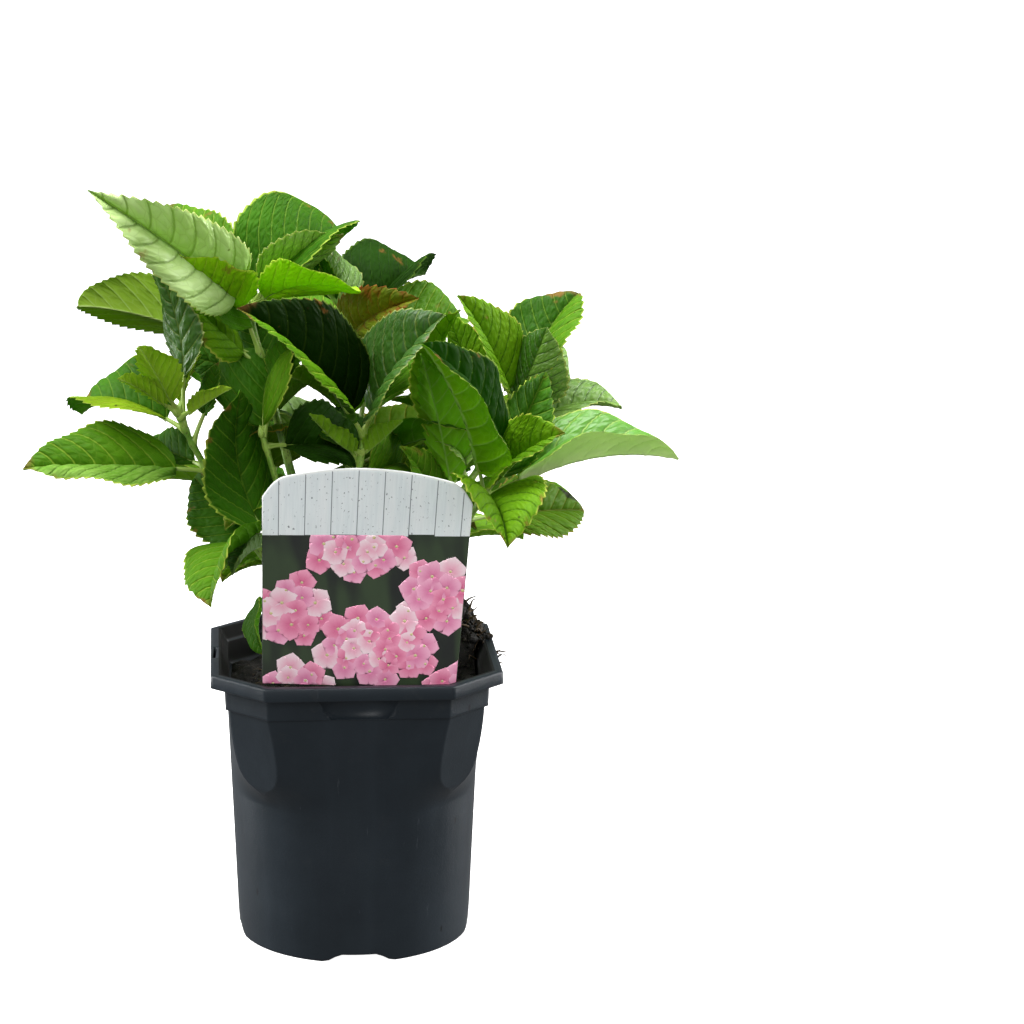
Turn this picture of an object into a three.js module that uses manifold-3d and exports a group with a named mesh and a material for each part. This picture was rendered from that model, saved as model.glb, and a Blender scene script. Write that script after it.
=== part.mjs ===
// A young bigleaf hydrangea shrub in its nursery pot, in millimetres, +Z up.
// The origin is the middle of the pot's underside; the label faces -Y.

import * as THREE from 'three';
import { mergeVertices } from 'three/addons/utils/BufferGeometryUtils.js';
import Module from 'manifold-3d';

const wasm = await Module();
wasm.setup();

// Pot
const POT_HEIGHT = 152;
const POT_YAW = 2.4;
const RIM_HALF = 75;
const RIM_CUT = 27.5;
const RIM_DEPTH = 7;
const RIM_WIDTH = 6;
const RIM_UNDER = POT_HEIGHT - RIM_DEPTH;
const BAND_HALF = 67.6;
const BAND_CUT = 21.8;
const BAND_DEPTH = 19;
const BODY_HALF = 66.8;
const BASE_RADIUS = 61.2;
const BODY_TOP = POT_HEIGHT - BAND_DEPTH;
const BODY_BULGE = 0.12;
const FACET_BOTTOM = 80;
const FACET_AT_TOP = 79;
const FACET_AT_BOTTOM = 64.6;
const BODY_HEIGHTS = [0, FACET_BOTTOM, 88, 97, 115, BODY_TOP];
const POT_WALL = 1.8;
const FLOOR_LIFT = 5;
const STANDING_WIDTH = 2.8;
const PAD_RADIUS = 14;
const SIDE_STEPS = 5;
const CORNER_SEARCH = { low: 0.3, high: 0.985, rounds: 30 };
const NOTCH = { width: 34, height: 4.2, taper: 7 };
const HANG_SLOT = { across: 1.6, along: 20, y: -7 };
const LABEL_POCKET = { wide: 41, narrow: 29, drop: 10, depth: 0.5 };
const DRAIN = { radius: 5.5, ring: 40, count: 4 };

// Potting soil
const SOIL_LEVEL = 131;
const SOIL_LUMPS = [1.6, 1.1];
const SOIL_RING_SHARES = [1, 0.88, 0.74, 0.58, 0.4, 0.2];
const FOOT_CLEARING = 30;
const HEAP = { x: 57, y: 25, height: 37, spread: 10.5 };
const SEAT = 0.3;

// Plant label
const LABEL = { bottom: 149.2, shoulder: 254, rise: 8.7, thickness: 0.9, y: -62.3, x: 0.3 };
const LABEL_HALF_BOTTOM = 49.2;
const LABEL_HALF_TOP = 52.8;
const LABEL_CORNER = { from: 0.8, drop: 7.8 };
const LABEL_STEPS = 14;
const LABEL_LEAN = 2.6;
const STAKE = { width: 22, tip: 8, depth: 45, point: 14, lap: 4 };

// Foot and stems
const FOOT = { x: -5, y: 2 };
const FOOT_SIDES = 12;
const FOOT_LEAN = 0.04;
const FLARE = { share: 0.12, lobes: 4, rings: 2 };
const FOOT_PROFILE = [[11.5, 0], [8.8, 4.5], [7.8, 11], [8.3, 19], [7.8, 24.5], [4.2, 27.2]];
const BOUGH_ROOT_RADIUS = 2.9;
const SHOOT_TIP_RADIUS = 1.3;
const STALK_RADIUS = 1.35;
const STALK_TAPER = 0.8;
const STEM_SIDES = 6;
const STEM_STEPS = 5;
const SHOOT_SIDES = 5;
const SHOOT_STEPS = 3;

// Leaves
const LEAF_STATIONS = [0.1, 0.3, 0.55, 0.8, 1];
const LEAF_SHOULDER = 0.62;
const LEAF_POINT = 0.95;
const LEAF_THICKNESS = 0.012;
const TIP_WIDTH = 0.9;
const PAIR_SHRINK = 0.42;
const PAIR_STALK = 0.2;
const LEAVES_BEGIN = 0.05;
const LEAF_ROOM = SEAT * 1.3;
const SMOOTHING = 0.15;

const GREEN = 0x3f7a26;

const rad = THREE.MathUtils.degToRad;
const point = ([x, y, z]) => new THREE.Vector3(x, y, z);

function solid(geometry) {
  const bare = geometry.clone();
  bare.deleteAttribute('normal');
  bare.deleteAttribute('uv');
  const merged = mergeVertices(bare, 1e-4);
  return new wasm.Manifold(new wasm.Mesh({
    numProp: 3,
    vertProperties: new Float32Array(merged.attributes.position.array),
    triVerts: new Uint32Array(merged.index.array),
  }));
}

function geometryOf(body) {
  const mesh = body.getMesh();
  const geometry = new THREE.BufferGeometry();
  geometry.setAttribute('position', new THREE.BufferAttribute(mesh.vertProperties, 3));
  geometry.setIndex(new THREE.BufferAttribute(mesh.triVerts, 1));
  geometry.computeVertexNormals();
  return geometry;
}

// A closed skin over rings that all have the same number of points, capped at both ends.
function skin(rings) {
  const count = rings[0].length;
  const position = [];
  const index = [];
  for (const ring of rings) {
    for (const p of ring) position.push(p.x, p.y, p.z);
  }
  for (let r = 0; r < rings.length - 1; r += 1) {
    for (let c = 0; c < count; c += 1) {
      const a = r * count + c;
      const b = r * count + ((c + 1) % count);
      index.push(a, b, b + count, a, b + count, a + count);
    }
  }
  for (const [r, flip] of [[0, true], [rings.length - 1, false]]) {
    const centre = new THREE.Vector3();
    for (const p of rings[r]) centre.addScaledVector(p, 1 / count);
    const middle = position.length / 3;
    position.push(centre.x, centre.y, centre.z);
    for (let c = 0; c < count; c += 1) {
      const a = r * count + c;
      const b = r * count + ((c + 1) % count);
      if (flip) index.push(middle, b, a);
      else index.push(middle, a, b);
    }
  }
  const geometry = new THREE.BufferGeometry();
  geometry.setAttribute('position', new THREE.Float32BufferAttribute(position, 3));
  geometry.setIndex(index);
  return solid(geometry);
}

function box(width, depth, height, x, y, z) {
  const geometry = new THREE.BoxGeometry(width, depth, height);
  geometry.translate(x, y, z);
  return solid(geometry);
}

function prism(outline, depth) {
  const shape = new THREE.Shape(outline.map(([x, y]) => new THREE.Vector2(x, y)));
  return new THREE.ExtrudeGeometry(shape, { depth, bevelEnabled: false });
}

// One ring of the pot: four sides that bulge from straight (round = 0) to a circle (round = 1),
// with each corner cut by a flat at the given distance from the axis.
function potRing(half, cutAt, round, z) {
  const side = (u) => [
    THREE.MathUtils.lerp(half, half * Math.cos((u * Math.PI) / 4), round),
    THREE.MathUtils.lerp(half * u, half * Math.sin((u * Math.PI) / 4), round),
  ];
  let low = CORNER_SEARCH.low;
  let high = CORNER_SEARCH.high;
  for (let i = 0; i < CORNER_SEARCH.rounds; i += 1) {
    const middle = (low + high) / 2;
    const [x, y] = side(middle);
    if ((x + y) / Math.SQRT2 > cutAt) high = middle;
    else low = middle;
  }
  const ring = [];
  for (let quarter = 0; quarter < 4; quarter += 1) {
    const turn = (quarter * Math.PI) / 2 + rad(POT_YAW);
    for (let i = 0; i <= SIDE_STEPS; i += 1) {
      const [x, y] = side(((2 * i) / SIDE_STEPS - 1) * low);
      ring.push(new THREE.Vector3(
        x * Math.cos(turn) - y * Math.sin(turn),
        x * Math.sin(turn) + y * Math.cos(turn),
        z,
      ));
    }
  }
  return ring;
}

function collarRing(half, cut, z) {
  return potRing(half, (2 * half - cut) / Math.SQRT2, 0, z);
}

// The body bulges from nearly square under the band to a circle where its corner facets run out.
function bodyRing(z, inset) {
  const share = THREE.MathUtils.clamp((BODY_TOP - z) / (BODY_TOP - FACET_BOTTOM), 0, 1);
  const half = THREE.MathUtils.mapLinear(z, 0, BODY_TOP, BASE_RADIUS, BODY_HALF) - inset;
  const round = THREE.MathUtils.lerp(BODY_BULGE, 1, share * share);
  const cutAt = THREE.MathUtils.lerp(FACET_AT_TOP, FACET_AT_BOTTOM, share) - inset;
  return potRing(half, cutAt, round, z);
}

// The pot stands on its lower edge, which four notches interrupt, and on a pad in the middle.
function makePot() {
  const inner = RIM_HALF - RIM_WIDTH;
  const rings = BODY_HEIGHTS.map((z) => bodyRing(z, 0));
  rings.push(collarRing(BAND_HALF, BAND_CUT, BODY_TOP + 0.6));
  rings.push(collarRing(BAND_HALF + 0.3, BAND_CUT, RIM_UNDER));
  rings.push(collarRing(RIM_HALF, RIM_CUT, RIM_UNDER));
  rings.push(collarRing(RIM_HALF, RIM_CUT, POT_HEIGHT - 1));
  rings.push(collarRing(RIM_HALF - 1, RIM_CUT - 0.6, POT_HEIGHT));
  const cavity = [FLOOR_LIFT + POT_WALL, ...BODY_HEIGHTS.slice(1)].map((z) => bodyRing(z, POT_WALL));
  cavity.push(collarRing(BAND_HALF - POT_WALL, BAND_CUT - 1, RIM_UNDER - 1));
  cavity.push(collarRing(inner, RIM_CUT - 3.4, POT_HEIGHT - 0.5));
  cavity.push(collarRing(inner + 0.5, RIM_CUT - 3.2, POT_HEIGHT + 1));
  let pot = skin(rings).subtract(skin(cavity));

  const pad = new THREE.CylinderGeometry(PAD_RADIUS, PAD_RADIUS, 4 * FLOOR_LIFT, 16);
  pad.rotateX(Math.PI / 2);
  const under = skin([bodyRing(-1, STANDING_WIDTH), bodyRing(FLOOR_LIFT, STANDING_WIDTH)]);
  pot = pot.subtract(under.subtract(solid(pad)));
  for (let i = 0; i < 4; i += 1) {
    const half = NOTCH.width / 2;
    const arch = prism([
      [-half, -1],
      [half, -1],
      [half - NOTCH.taper, NOTCH.height],
      [-half + NOTCH.taper, NOTCH.height],
    ], 12);
    arch.rotateX(Math.PI / 2);
    arch.translate(0, -(BASE_RADIUS - 7), 0);
    arch.rotateZ((i * Math.PI) / 2 + rad(POT_YAW));
    pot = pot.subtract(solid(arch));
  }
  for (let i = 0; i < DRAIN.count; i += 1) {
    const hole = new THREE.CylinderGeometry(DRAIN.radius, DRAIN.radius, 8, 12);
    hole.rotateX(Math.PI / 2);
    hole.translate(DRAIN.ring, 0, FLOOR_LIFT);
    hole.rotateZ(Math.PI / 4 + (i * 2 * Math.PI) / DRAIN.count + rad(POT_YAW));
    pot = pot.subtract(solid(hole));
  }
  const slotX = -(RIM_HALF - RIM_WIDTH / 2 + 0.6);
  const slot = box(HANG_SLOT.across, HANG_SLOT.along, RIM_DEPTH + 4, slotX, HANG_SLOT.y, POT_HEIGHT - 3);
  pot = pot.subtract(slot);
  const pocket = prism([
    [-LABEL_POCKET.wide / 2, 0],
    [-LABEL_POCKET.narrow / 2, -LABEL_POCKET.drop],
    [LABEL_POCKET.narrow / 2, -LABEL_POCKET.drop],
    [LABEL_POCKET.wide / 2, 0],
  ], 2);
  pocket.rotateX(Math.PI / 2);
  pocket.translate(0, -BAND_HALF + LABEL_POCKET.depth, RIM_UNDER - 1.5);
  pocket.rotateZ(rad(POT_YAW));
  return pot.subtract(solid(pocket));
}

function soilTop(x, y) {
  const heap = HEAP.height * Math.exp(-((x - HEAP.x) ** 2 + (y - HEAP.y) ** 2) / (2 * HEAP.spread ** 2));
  const away = Math.min(1, Math.hypot(x - FOOT.x, y - FOOT.y) / FOOT_CLEARING);
  const broad = SOIL_LUMPS[0] * Math.sin(x * 0.21 + 1.3) * Math.cos(y * 0.17);
  const small = SOIL_LUMPS[1] * Math.sin(x * 0.43 - y * 0.37);
  return SOIL_LEVEL + away ** 3 * (broad + small) + heap;
}

// The soil fills the pot; its top is a wavy ground with one heap by the right-hand rim.
function makeSoil() {
  const inset = POT_WALL + SEAT;
  const edge = bodyRing(SOIL_LEVEL, inset);
  const rings = [bodyRing(FLOOR_LIFT + POT_WALL + SEAT, inset)];
  for (const z of BODY_HEIGHTS.slice(1, -1)) rings.push(bodyRing(z, inset));
  for (const share of SOIL_RING_SHARES) {
    rings.push(edge.map((p) => {
      const x = p.x * share;
      const y = p.y * share;
      return new THREE.Vector3(x, y, soilTop(x, y));
    }));
  }
  return skin(rings);
}

function labelOutline(grow) {
  const half = LABEL_HALF_TOP + grow;
  const foot = LABEL_HALF_BOTTOM + grow;
  const outline = [[-foot, LABEL.bottom - grow], [foot, LABEL.bottom - grow]];
  for (let i = 0; i <= LABEL_STEPS; i += 1) {
    const u = 1 - (2 * i) / LABEL_STEPS;
    const share = Math.max(0, Math.abs(u) - LABEL_CORNER.from) / (1 - LABEL_CORNER.from);
    const corner = LABEL_CORNER.drop * share * share;
    outline.push([u * half, LABEL.shoulder + grow + LABEL.rise * (1 - u * u) - corner]);
  }
  return outline;
}

function makeLabel(grow) {
  const card = prism(labelOutline(grow), LABEL.thickness + 2 * grow);
  const stake = prism([
    [-STAKE.width / 2 - grow, LABEL.bottom + STAKE.lap],
    [-STAKE.width / 2 - grow, LABEL.bottom - STAKE.depth + STAKE.point],
    [-STAKE.tip / 2 - grow, LABEL.bottom - STAKE.depth - grow],
    [STAKE.tip / 2 + grow, LABEL.bottom - STAKE.depth - grow],
    [STAKE.width / 2 + grow, LABEL.bottom - STAKE.depth + STAKE.point],
    [STAKE.width / 2 + grow, LABEL.bottom + STAKE.lap],
  ], LABEL.thickness + 2 * grow);
  const pieces = [card, stake].map((geometry) => {
    geometry.translate(0, -POT_HEIGHT, -LABEL.thickness / 2 - grow);
    geometry.rotateX(Math.PI / 2);
    geometry.rotateY(rad(LABEL_LEAN));
    geometry.translate(LABEL.x, LABEL.y, POT_HEIGHT);
    geometry.rotateZ(rad(POT_YAW));
    return solid(geometry);
  });
  return pieces[0].add(pieces[1]);
}

// The foot stands on the soil, flares in four blunt lobes there and ends in the fork of the stems.
function makeFoot(grow) {
  const base = SOIL_LEVEL + SEAT;
  const rings = FOOT_PROFILE.map(([radius, height], k) => {
    const ring = [];
    const z = base + height + (k === 0 ? -grow : 0) + (k === FOOT_PROFILE.length - 1 ? grow : 0);
    for (let i = 0; i < FOOT_SIDES; i += 1) {
      const a = (i * 2 * Math.PI) / FOOT_SIDES;
      const flare = k < FLARE.rings ? 1 + FLARE.share * Math.cos(a * FLARE.lobes + 0.6) : 1;
      ring.push(new THREE.Vector3(
        FOOT.x - height * FOOT_LEAN + (radius * flare + grow) * Math.cos(a),
        FOOT.y + (radius * flare + grow) * Math.sin(a),
        z,
      ));
    }
    return ring;
  });
  return skin(rings);
}

// A tapering limb along a curve, with flat ends, from one share of its length to another.
function limb(curve, from, to, radiusAt, sides, steps, grow = 0) {
  const frames = [];
  for (let i = 0; i <= steps; i += 1) {
    const t = from + ((to - from) * i) / steps;
    frames.push({ at: curve.getPoint(t), along: curve.getTangent(t), radius: radiusAt(t) + grow });
  }
  frames[0].at.addScaledVector(frames[0].along, -grow);
  frames[steps].at.addScaledVector(frames[steps].along, grow);
  const rings = frames.map(({ at, along, radius }) => {
    const across = new THREE.Vector3(0, 1, 0).cross(along).normalize();
    const over = along.clone().cross(across);
    const ring = [];
    for (let i = 0; i < sides; i += 1) {
      const a = (i * 2 * Math.PI) / sides;
      const out = across.clone().multiplyScalar(Math.cos(a)).addScaledVector(over, Math.sin(a));
      ring.push(at.clone().addScaledVector(out, radius));
    }
    return ring;
  });
  return skin(rings);
}

function leafOutline(s, sharp) {
  const widest = LEAF_SHOULDER / (LEAF_SHOULDER + sharp);
  return (s ** LEAF_SHOULDER * (1 - s) ** sharp) / (widest ** LEAF_SHOULDER * (1 - widest) ** sharp);
}

// One leaf on its stalk. The midrib is an arc about the heading and rise, the two halves fold up from it.
function leafSolid(root, row, grow = 0) {
  const [, heading, rise, length, width, roll, fold, arch, stalk, sharp = LEAF_POINT] = row;
  const yaw = rad(heading);
  const lift = rad(rise);
  const flat = Math.cos(lift);
  const along = new THREE.Vector3(flat * Math.cos(yaw), flat * Math.sin(yaw), Math.sin(lift));
  const level = new THREE.Vector3(-Math.sin(yaw), Math.cos(yaw), 0);
  const above = along.clone().cross(level);
  const tilt = rad(roll);
  const side = level.clone().multiplyScalar(Math.cos(tilt)).addScaledVector(above, Math.sin(tilt));
  const face = above.clone().multiplyScalar(Math.cos(tilt)).addScaledVector(level, -Math.sin(tilt));
  const bend = rad(Math.abs(arch) < 1 ? 1 : arch);
  const start = along.clone().multiplyScalar(Math.cos(bend / 2)).addScaledVector(face, Math.sin(bend / 2));
  const base = root.clone().addScaledVector(start, stalk);
  const midrib = (s) => base.clone()
    .addScaledVector(along, (length * (Math.sin(bend / 2) - Math.sin(bend * (0.5 - s)))) / bend)
    .addScaledVector(face, (length * (Math.cos(bend * (0.5 - s)) - Math.cos(bend / 2))) / bend);
  const ringAt = (middle, turn, out, up, thick) => {
    const normal = face.clone().multiplyScalar(Math.cos(turn)).addScaledVector(along, -Math.sin(turn));
    const corner = (a, b, c) => middle.clone().addScaledVector(side, a).addScaledVector(normal, b + c);
    return [
      corner(out, up, thick),
      corner(0, 0, thick),
      corner(-out, up, thick),
      corner(-out, up, -thick),
      corner(0, 0, -thick),
      corner(out, up, -thick),
    ];
  };
  const stalkRoot = STALK_RADIUS + grow;
  const stalkEnd = STALK_RADIUS * STALK_TAPER + grow;
  const rings = [
    ringAt(root.clone().addScaledVector(start, -grow), bend / 2, stalkRoot, 0, stalkRoot),
    ringAt(base, bend / 2, stalkEnd, 0, stalkEnd),
  ];
  for (const s of LEAF_STATIONS) {
    const turn = bend * (0.5 - s);
    const forward = along.clone().multiplyScalar(Math.cos(turn)).addScaledVector(face, Math.sin(turn));
    const half = Math.max(TIP_WIDTH, (width / 2) * leafOutline(s, sharp)) + grow;
    const middle = midrib(s).addScaledVector(forward, s === 1 ? grow : 0);
    const thick = (LEAF_THICKNESS * length) / 2 + grow;
    rings.push(ringAt(middle, turn, half * Math.cos(rad(fold)), half * Math.sin(rad(fold)), thick));
  }
  return skin(rings);
}

// Seeded numbers from 0 to 1, the same on every run.
function dice(seed) {
  let k = seed;
  return () => {
    k += 1;
    const v = Math.sin(k * 12.9898 + seed * 78.233) * 43758.5453;
    return v - Math.floor(v);
  };
}

// Opposite pairs of leaves up a shoot, each pair turned a quarter from the last one.
function pairs({ seed, count, from, heading, length }) {
  const random = dice(seed);
  const rows = [];
  for (let k = 0; k < count; k += 1) {
    const share = k / (count - 1);
    for (const turn of [0, 180]) {
      const size = length * (1 - PAIR_SHRINK * share) * (0.9 + 0.2 * random());
      rows.push([
        from + (0.99 - from) * share,
        heading + 90 * k + turn + 24 * (random() - 0.5),
        4 + 34 * share + 14 * (random() - 0.5),
        size,
        size * (0.6 + 0.1 * random()),
        24 * (random() - 0.5),
        16 + 14 * random(),
        30 + 24 * random(),
        size * PAIR_STALK,
      ]);
    }
  }
  return rows;
}

// Shoots: root, bend and tip of the stem, then the leaves, each with its place along the stem,
// heading, rise, length, width, roll, fold, arch, length of stalk and, where it is not usual, its point.
const SHOOTS = [
  {
    name: 'centre',
    stem: [[0.5, -1.5, 154], [-2, -10, 213], [5, -14, 269]],
    leaves: [
      [1.00, -140, 41, 95, 62, -60, 34, 31, 20],
      [1.00, -42, 50, 75, 58, 57, 23, 25, 16],
      [0.92, -138, 38, 40, 15, 22, 27, -26, 4],
      [0.92, -49, 36, 35, 15, -13, 36, -4, 4],
      [0.80, 66, -3, 44, 38, 60, 24, 38, 9],
      [0.88, 118, 8, 58, 38, 0, 22, 30, 12],
    ],
  },
  {
    name: 'top_left',
    stem: [[-9.5, 5, 154], [-33, 8, 247], [-54, 12, 332]],
    leaves: [
      [1.00, -140, 34, 109, 51, -97, 34, 46, 21, 1.1],
      [0.96, 125, 32, 77, 42, -36, 18, 21, 17],
      [0.84, -149, 18, 95, 52, 72, 53, 55, 18],
      [0.79, -157, 43, 52, 41, 144, 8, -9, 18],
      [0.78, 150, 9, 46, 38, 98, 20, 20, 7],
      [0.74, 142, 65, 44, 28, 117, 22, 20, 12],
      [0.97, -122, 32, 63, 45, -4, 35, -8, 12],
      [0.97, 44, 23, 65, 73, 14, 36, 70, 15, 0.75],
      [1.00, -6, 35, 52, 41, -39, 12, 32, 11],
      [1.00, -39, 8, 65, 45, -26, 14, 42, 11],
    ],
  },
  {
    name: 'right',
    stem: [[-5, 2, 141], [37, -28, 191], [66, -40, 243]],
    leaves: [
      [1.00, -121, 52, 95, 58, -65, 40, 24, 19],
      [1.00, 49, 49, 65, 32, 52, 24, 29, 12],
      [1.00, -35, 37, 53, 45, 43, 27, 34, 11],
      [0.98, 10, 6, 87, 58, 5, 39, 42, 22, 1],
      [0.96, -81, -9, 63, 55, -7, 31, 60, 12],
      [0.88, 42, -6, 69, 41, 48, 14, 13, 16],
    ],
  },
  {
    name: 'left_low',
    stem: [[-5, 2, 148], [-66, -12, 225], [-89, -25, 283]],
    leaves: [
      [1.00, -116, 47, 47, 24, 17, 27, 13, 9],
      [1.00, -135, 30, 38, 14, 44, 33, 26, 8],
      [1.00, 71, 35, 36, 14, -9, 41, 31, 7],
      [0.98, -38, 30, 33, 13, -23, 24, 11, 7],
      [0.94, -173, 76, 64, 30, 34, 12, 35, 25],
      [0.92, 137, -5, 69, 53, -22, 29, 64, 13, 0.9],
      [0.74, -163, 4, 79, 56, -25, 16, 12, 17],
      [0.76, 123, 2, 55, 25, -37, 19, 6, 11],
    ],
  },
  {
    name: 'right_back',
    stem: [[-5, 2, 150], [45, 0, 216], [85, 10, 277]],
    leaves: [
      [1.00, -156, 61, 60, 44, -52, 23, 16, 13],
      [1.00, 42, 49, 63, 48, 6, 19, 42, 13, 0.8],
      [1.00, -65, 57, 49, 26, 6, 42, 23, 10],
      [0.97, 74, 32, 57, 46, 70, 22, 37, 16],
      [0.90, 24, 4, 62, 38, 22, 28, 50, 13],
      [0.70, -90, 66, 102, 31, 33, 47, 92, 14],
      [0.62, -159, 76, 72, 29, 39, 16, 15, 11],
      [0.55, -157, 58, 41, 27, -51, 15, 26, 8],
      [0.62, 117, 24, 42, 24, -35, 23, 41, 8],
      [0.91, 146, 64, 42, 34, 74, 19, -18, 28],
    ],
  },
  {
    name: 'left_front',
    stem: [[-5, 2, 140], [-33, -30, 186], [-43, -36, 221]],
    leaves: [
      [1.00, 161, 81, 75, 57, -16, -5, -59, 5],
      [0.90, 128, 21, 61, 42, -57, 17, 28, 12],
      [0.95, -113, -18, 61, 48, 32, 28, 57, 12],
      [0.98, -111, -10, 41, 18, 21, 41, 32, 8],
      [0.50, -108, -14, 44, 33, 19, 26, 52, 9],
    ],
  },
  {
    name: 'front_centre',
    stem: [[-8, -3.5, 154], [-28, -15, 204], [-46, -24, 271]],
    leaves: [
      [1.00, 76, 31, 63, 55, -16, 32, 70, 5],
      [0.96, 47, -13, 59, 47, 49, 26, 32, 12],
    ],
  },
  {
    name: 'top_centre',
    stem: [[0, 7, 154], [-4, 22, 244], [-1, 34, 313]],
    leaves: [
      [1.00, 58, 14, 65, 64, 7, 44, 39, 16],
      [0.98, -52, 26, 62, 35, 80, 32, 57, 12],
      [0.92, 42, 6, 69, 45, 44, 29, 60, 14],
      [0.90, 128, 12, 74, 46, 0, 20, 36, 15],
      [0.78, 84, 2, 78, 48, 0, 22, 40, 16],
      [0.98, 138, 58, 40, 36, 6, 12, 30, 17],
    ],
  },
  {
    name: 'back_centre',
    stem: [[-5, 2, 147], [-2, 40, 210], [6, 74, 276]],
    leaves: pairs({ seed: 347, count: 4, from: 0.57, heading: 60, length: 87 }),
  },
  {
    name: 'back_left',
    stem: [[-5, 2, 140], [-34, 36, 200], [-52, 62, 256]],
    leaves: pairs({ seed: 177, count: 3, from: 0.56, heading: 165, length: 85 }),
  },
  {
    name: 'back_right',
    stem: [[-5, 2, 141], [38, 34, 198], [62, 58, 248]],
    leaves: pairs({ seed: 355, count: 3, from: 0.63, heading: 175, length: 75 }),
  },
  {
    name: 'back_low_left',
    stem: [[-5, 2, 139], [-26, 56, 172], [-34, 92, 198]],
    leaves: pairs({ seed: 32, count: 2, from: 0.61, heading: 55, length: 71 }),
  },
  {
    name: 'back_low_right',
    stem: [[-5, 2, 139], [22, 58, 172], [40, 90, 200]],
    leaves: pairs({ seed: 327, count: 2, from: 0.68, heading: 30, length: 71 }),
  },
];

function stemRadius(t) {
  return THREE.MathUtils.lerp(BOUGH_ROOT_RADIUS, SHOOT_TIP_RADIUS, t ** 1.4);
}

// The largest body of a cut solid, which is the one that holds its stem.
function whole(body) {
  let best = null;
  for (const piece of body.decompose()) {
    if (!best || piece.volume() > best.volume()) best = piece;
  }
  return best;
}

const object = new THREE.Group();

function addNode(name, body, colour, roughness) {
  const material = new THREE.MeshStandardMaterial({ color: colour, roughness, metalness: 0 });
  const mesh = new THREE.Mesh(geometryOf(body), material);
  mesh.name = name;
  object.add(mesh);
}

const foot = makeFoot(0);
const footRoom = makeFoot(SEAT);
const label = makeLabel(0);
const labelRoom = makeLabel(SEAT);
addNode('pot', makePot(), 0x23282f, 0.45);
addNode('potting_soil', makeSoil().subtract(labelRoom), 0x2a2019, 0.95);
addNode('plant_label', label, 0xe9ebe8, 0.5);
addNode('woody_foot', foot, 0x6d5a3c, 0.85);

// Stems first: each runs from the foot to where its leaves begin.
const shoots = SHOOTS.map((shoot) => {
  const curve = new THREE.QuadraticBezierCurve3(...shoot.stem.map(point));
  const leafStart = Math.min(...shoot.leaves.map((row) => row[0])) - LEAVES_BEGIN;
  return { ...shoot, curve, leafStart };
});
let stemRoom = footRoom;
for (const shoot of shoots) {
  const stem = limb(shoot.curve, 0, shoot.leafStart, stemRadius, STEM_SIDES, STEM_STEPS);
  addNode(`stem_${shoot.name}`, whole(stem.subtract(stemRoom)), 0x7c8a3e, 0.7);
  stemRoom = stemRoom.add(limb(shoot.curve, 0, shoot.leafStart, stemRadius, STEM_SIDES, STEM_STEPS, SEAT));
}

// Then the foliage: leaves on stalks fused to their shoot, kept clear of what is already there.
let taken = stemRoom.add(labelRoom);
for (const shoot of shoots) {
  let mass = limb(shoot.curve, shoot.leafStart, 1, stemRadius, SHOOT_SIDES, SHOOT_STEPS);
  let room = limb(shoot.curve, shoot.leafStart, 1, stemRadius, SHOOT_SIDES, SHOOT_STEPS, SEAT);
  for (const row of shoot.leaves) {
    const root = shoot.curve.getPoint(row[0]);
    mass = mass.add(leafSolid(root, row));
    room = room.add(leafSolid(root, row, LEAF_ROOM));
  }
  const clear = whole(whole(mass.subtract(taken)).simplify(SMOOTHING));
  addNode(`foliage_${shoot.name}`, clear, GREEN, 0.55);
  taken = taken.add(room);
}

export default object;
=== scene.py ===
"""A potted bigleaf hydrangea without flowers: leaves, stems, pot, soil and plant label.

Shapes are worked out in millimetres as numpy grids and put into their meshes in metres. Angles in the
tables are degrees, counted from +X towards +Y.
"""

import math

import bpy
import numpy as np
from bpy.props import FloatProperty, FloatVectorProperty, IntProperty, PointerProperty
from mathutils import Matrix, Vector


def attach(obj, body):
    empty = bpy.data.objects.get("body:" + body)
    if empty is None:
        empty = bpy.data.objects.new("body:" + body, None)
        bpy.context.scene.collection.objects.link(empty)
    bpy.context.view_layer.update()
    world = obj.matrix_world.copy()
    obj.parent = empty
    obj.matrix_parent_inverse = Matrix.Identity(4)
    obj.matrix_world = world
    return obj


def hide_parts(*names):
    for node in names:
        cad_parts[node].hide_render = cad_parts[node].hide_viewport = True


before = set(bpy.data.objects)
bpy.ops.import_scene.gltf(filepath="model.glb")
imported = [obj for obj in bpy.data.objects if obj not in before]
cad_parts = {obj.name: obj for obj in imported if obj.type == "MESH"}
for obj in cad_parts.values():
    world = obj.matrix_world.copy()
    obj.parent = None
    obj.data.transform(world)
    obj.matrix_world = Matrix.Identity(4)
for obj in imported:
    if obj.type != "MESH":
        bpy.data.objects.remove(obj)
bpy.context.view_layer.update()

bl_info = {
    "name": "Potted Hydrangea",
    "version": (1, 0, 0),
    "blender": (4, 5, 0),
    "location": "3D View > Sidebar > Plant",
    "description": "Grows a young hydrangea shrub in its nursery pot",
    "category": "Add Mesh",
}

MM = 0.001
CELL_MARGIN = 0.03

# Camera, fitted to the pot's rim and base
CAMERA_PLACE = (0.0, -1.6, 0.5953)
CAMERA_PITCH = 0.2267
CAMERA_YAW = 0.0517
CAMERA_ROLL = 0.01
CAMERA_LENS = 110.6
SENSOR = 36.0

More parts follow.
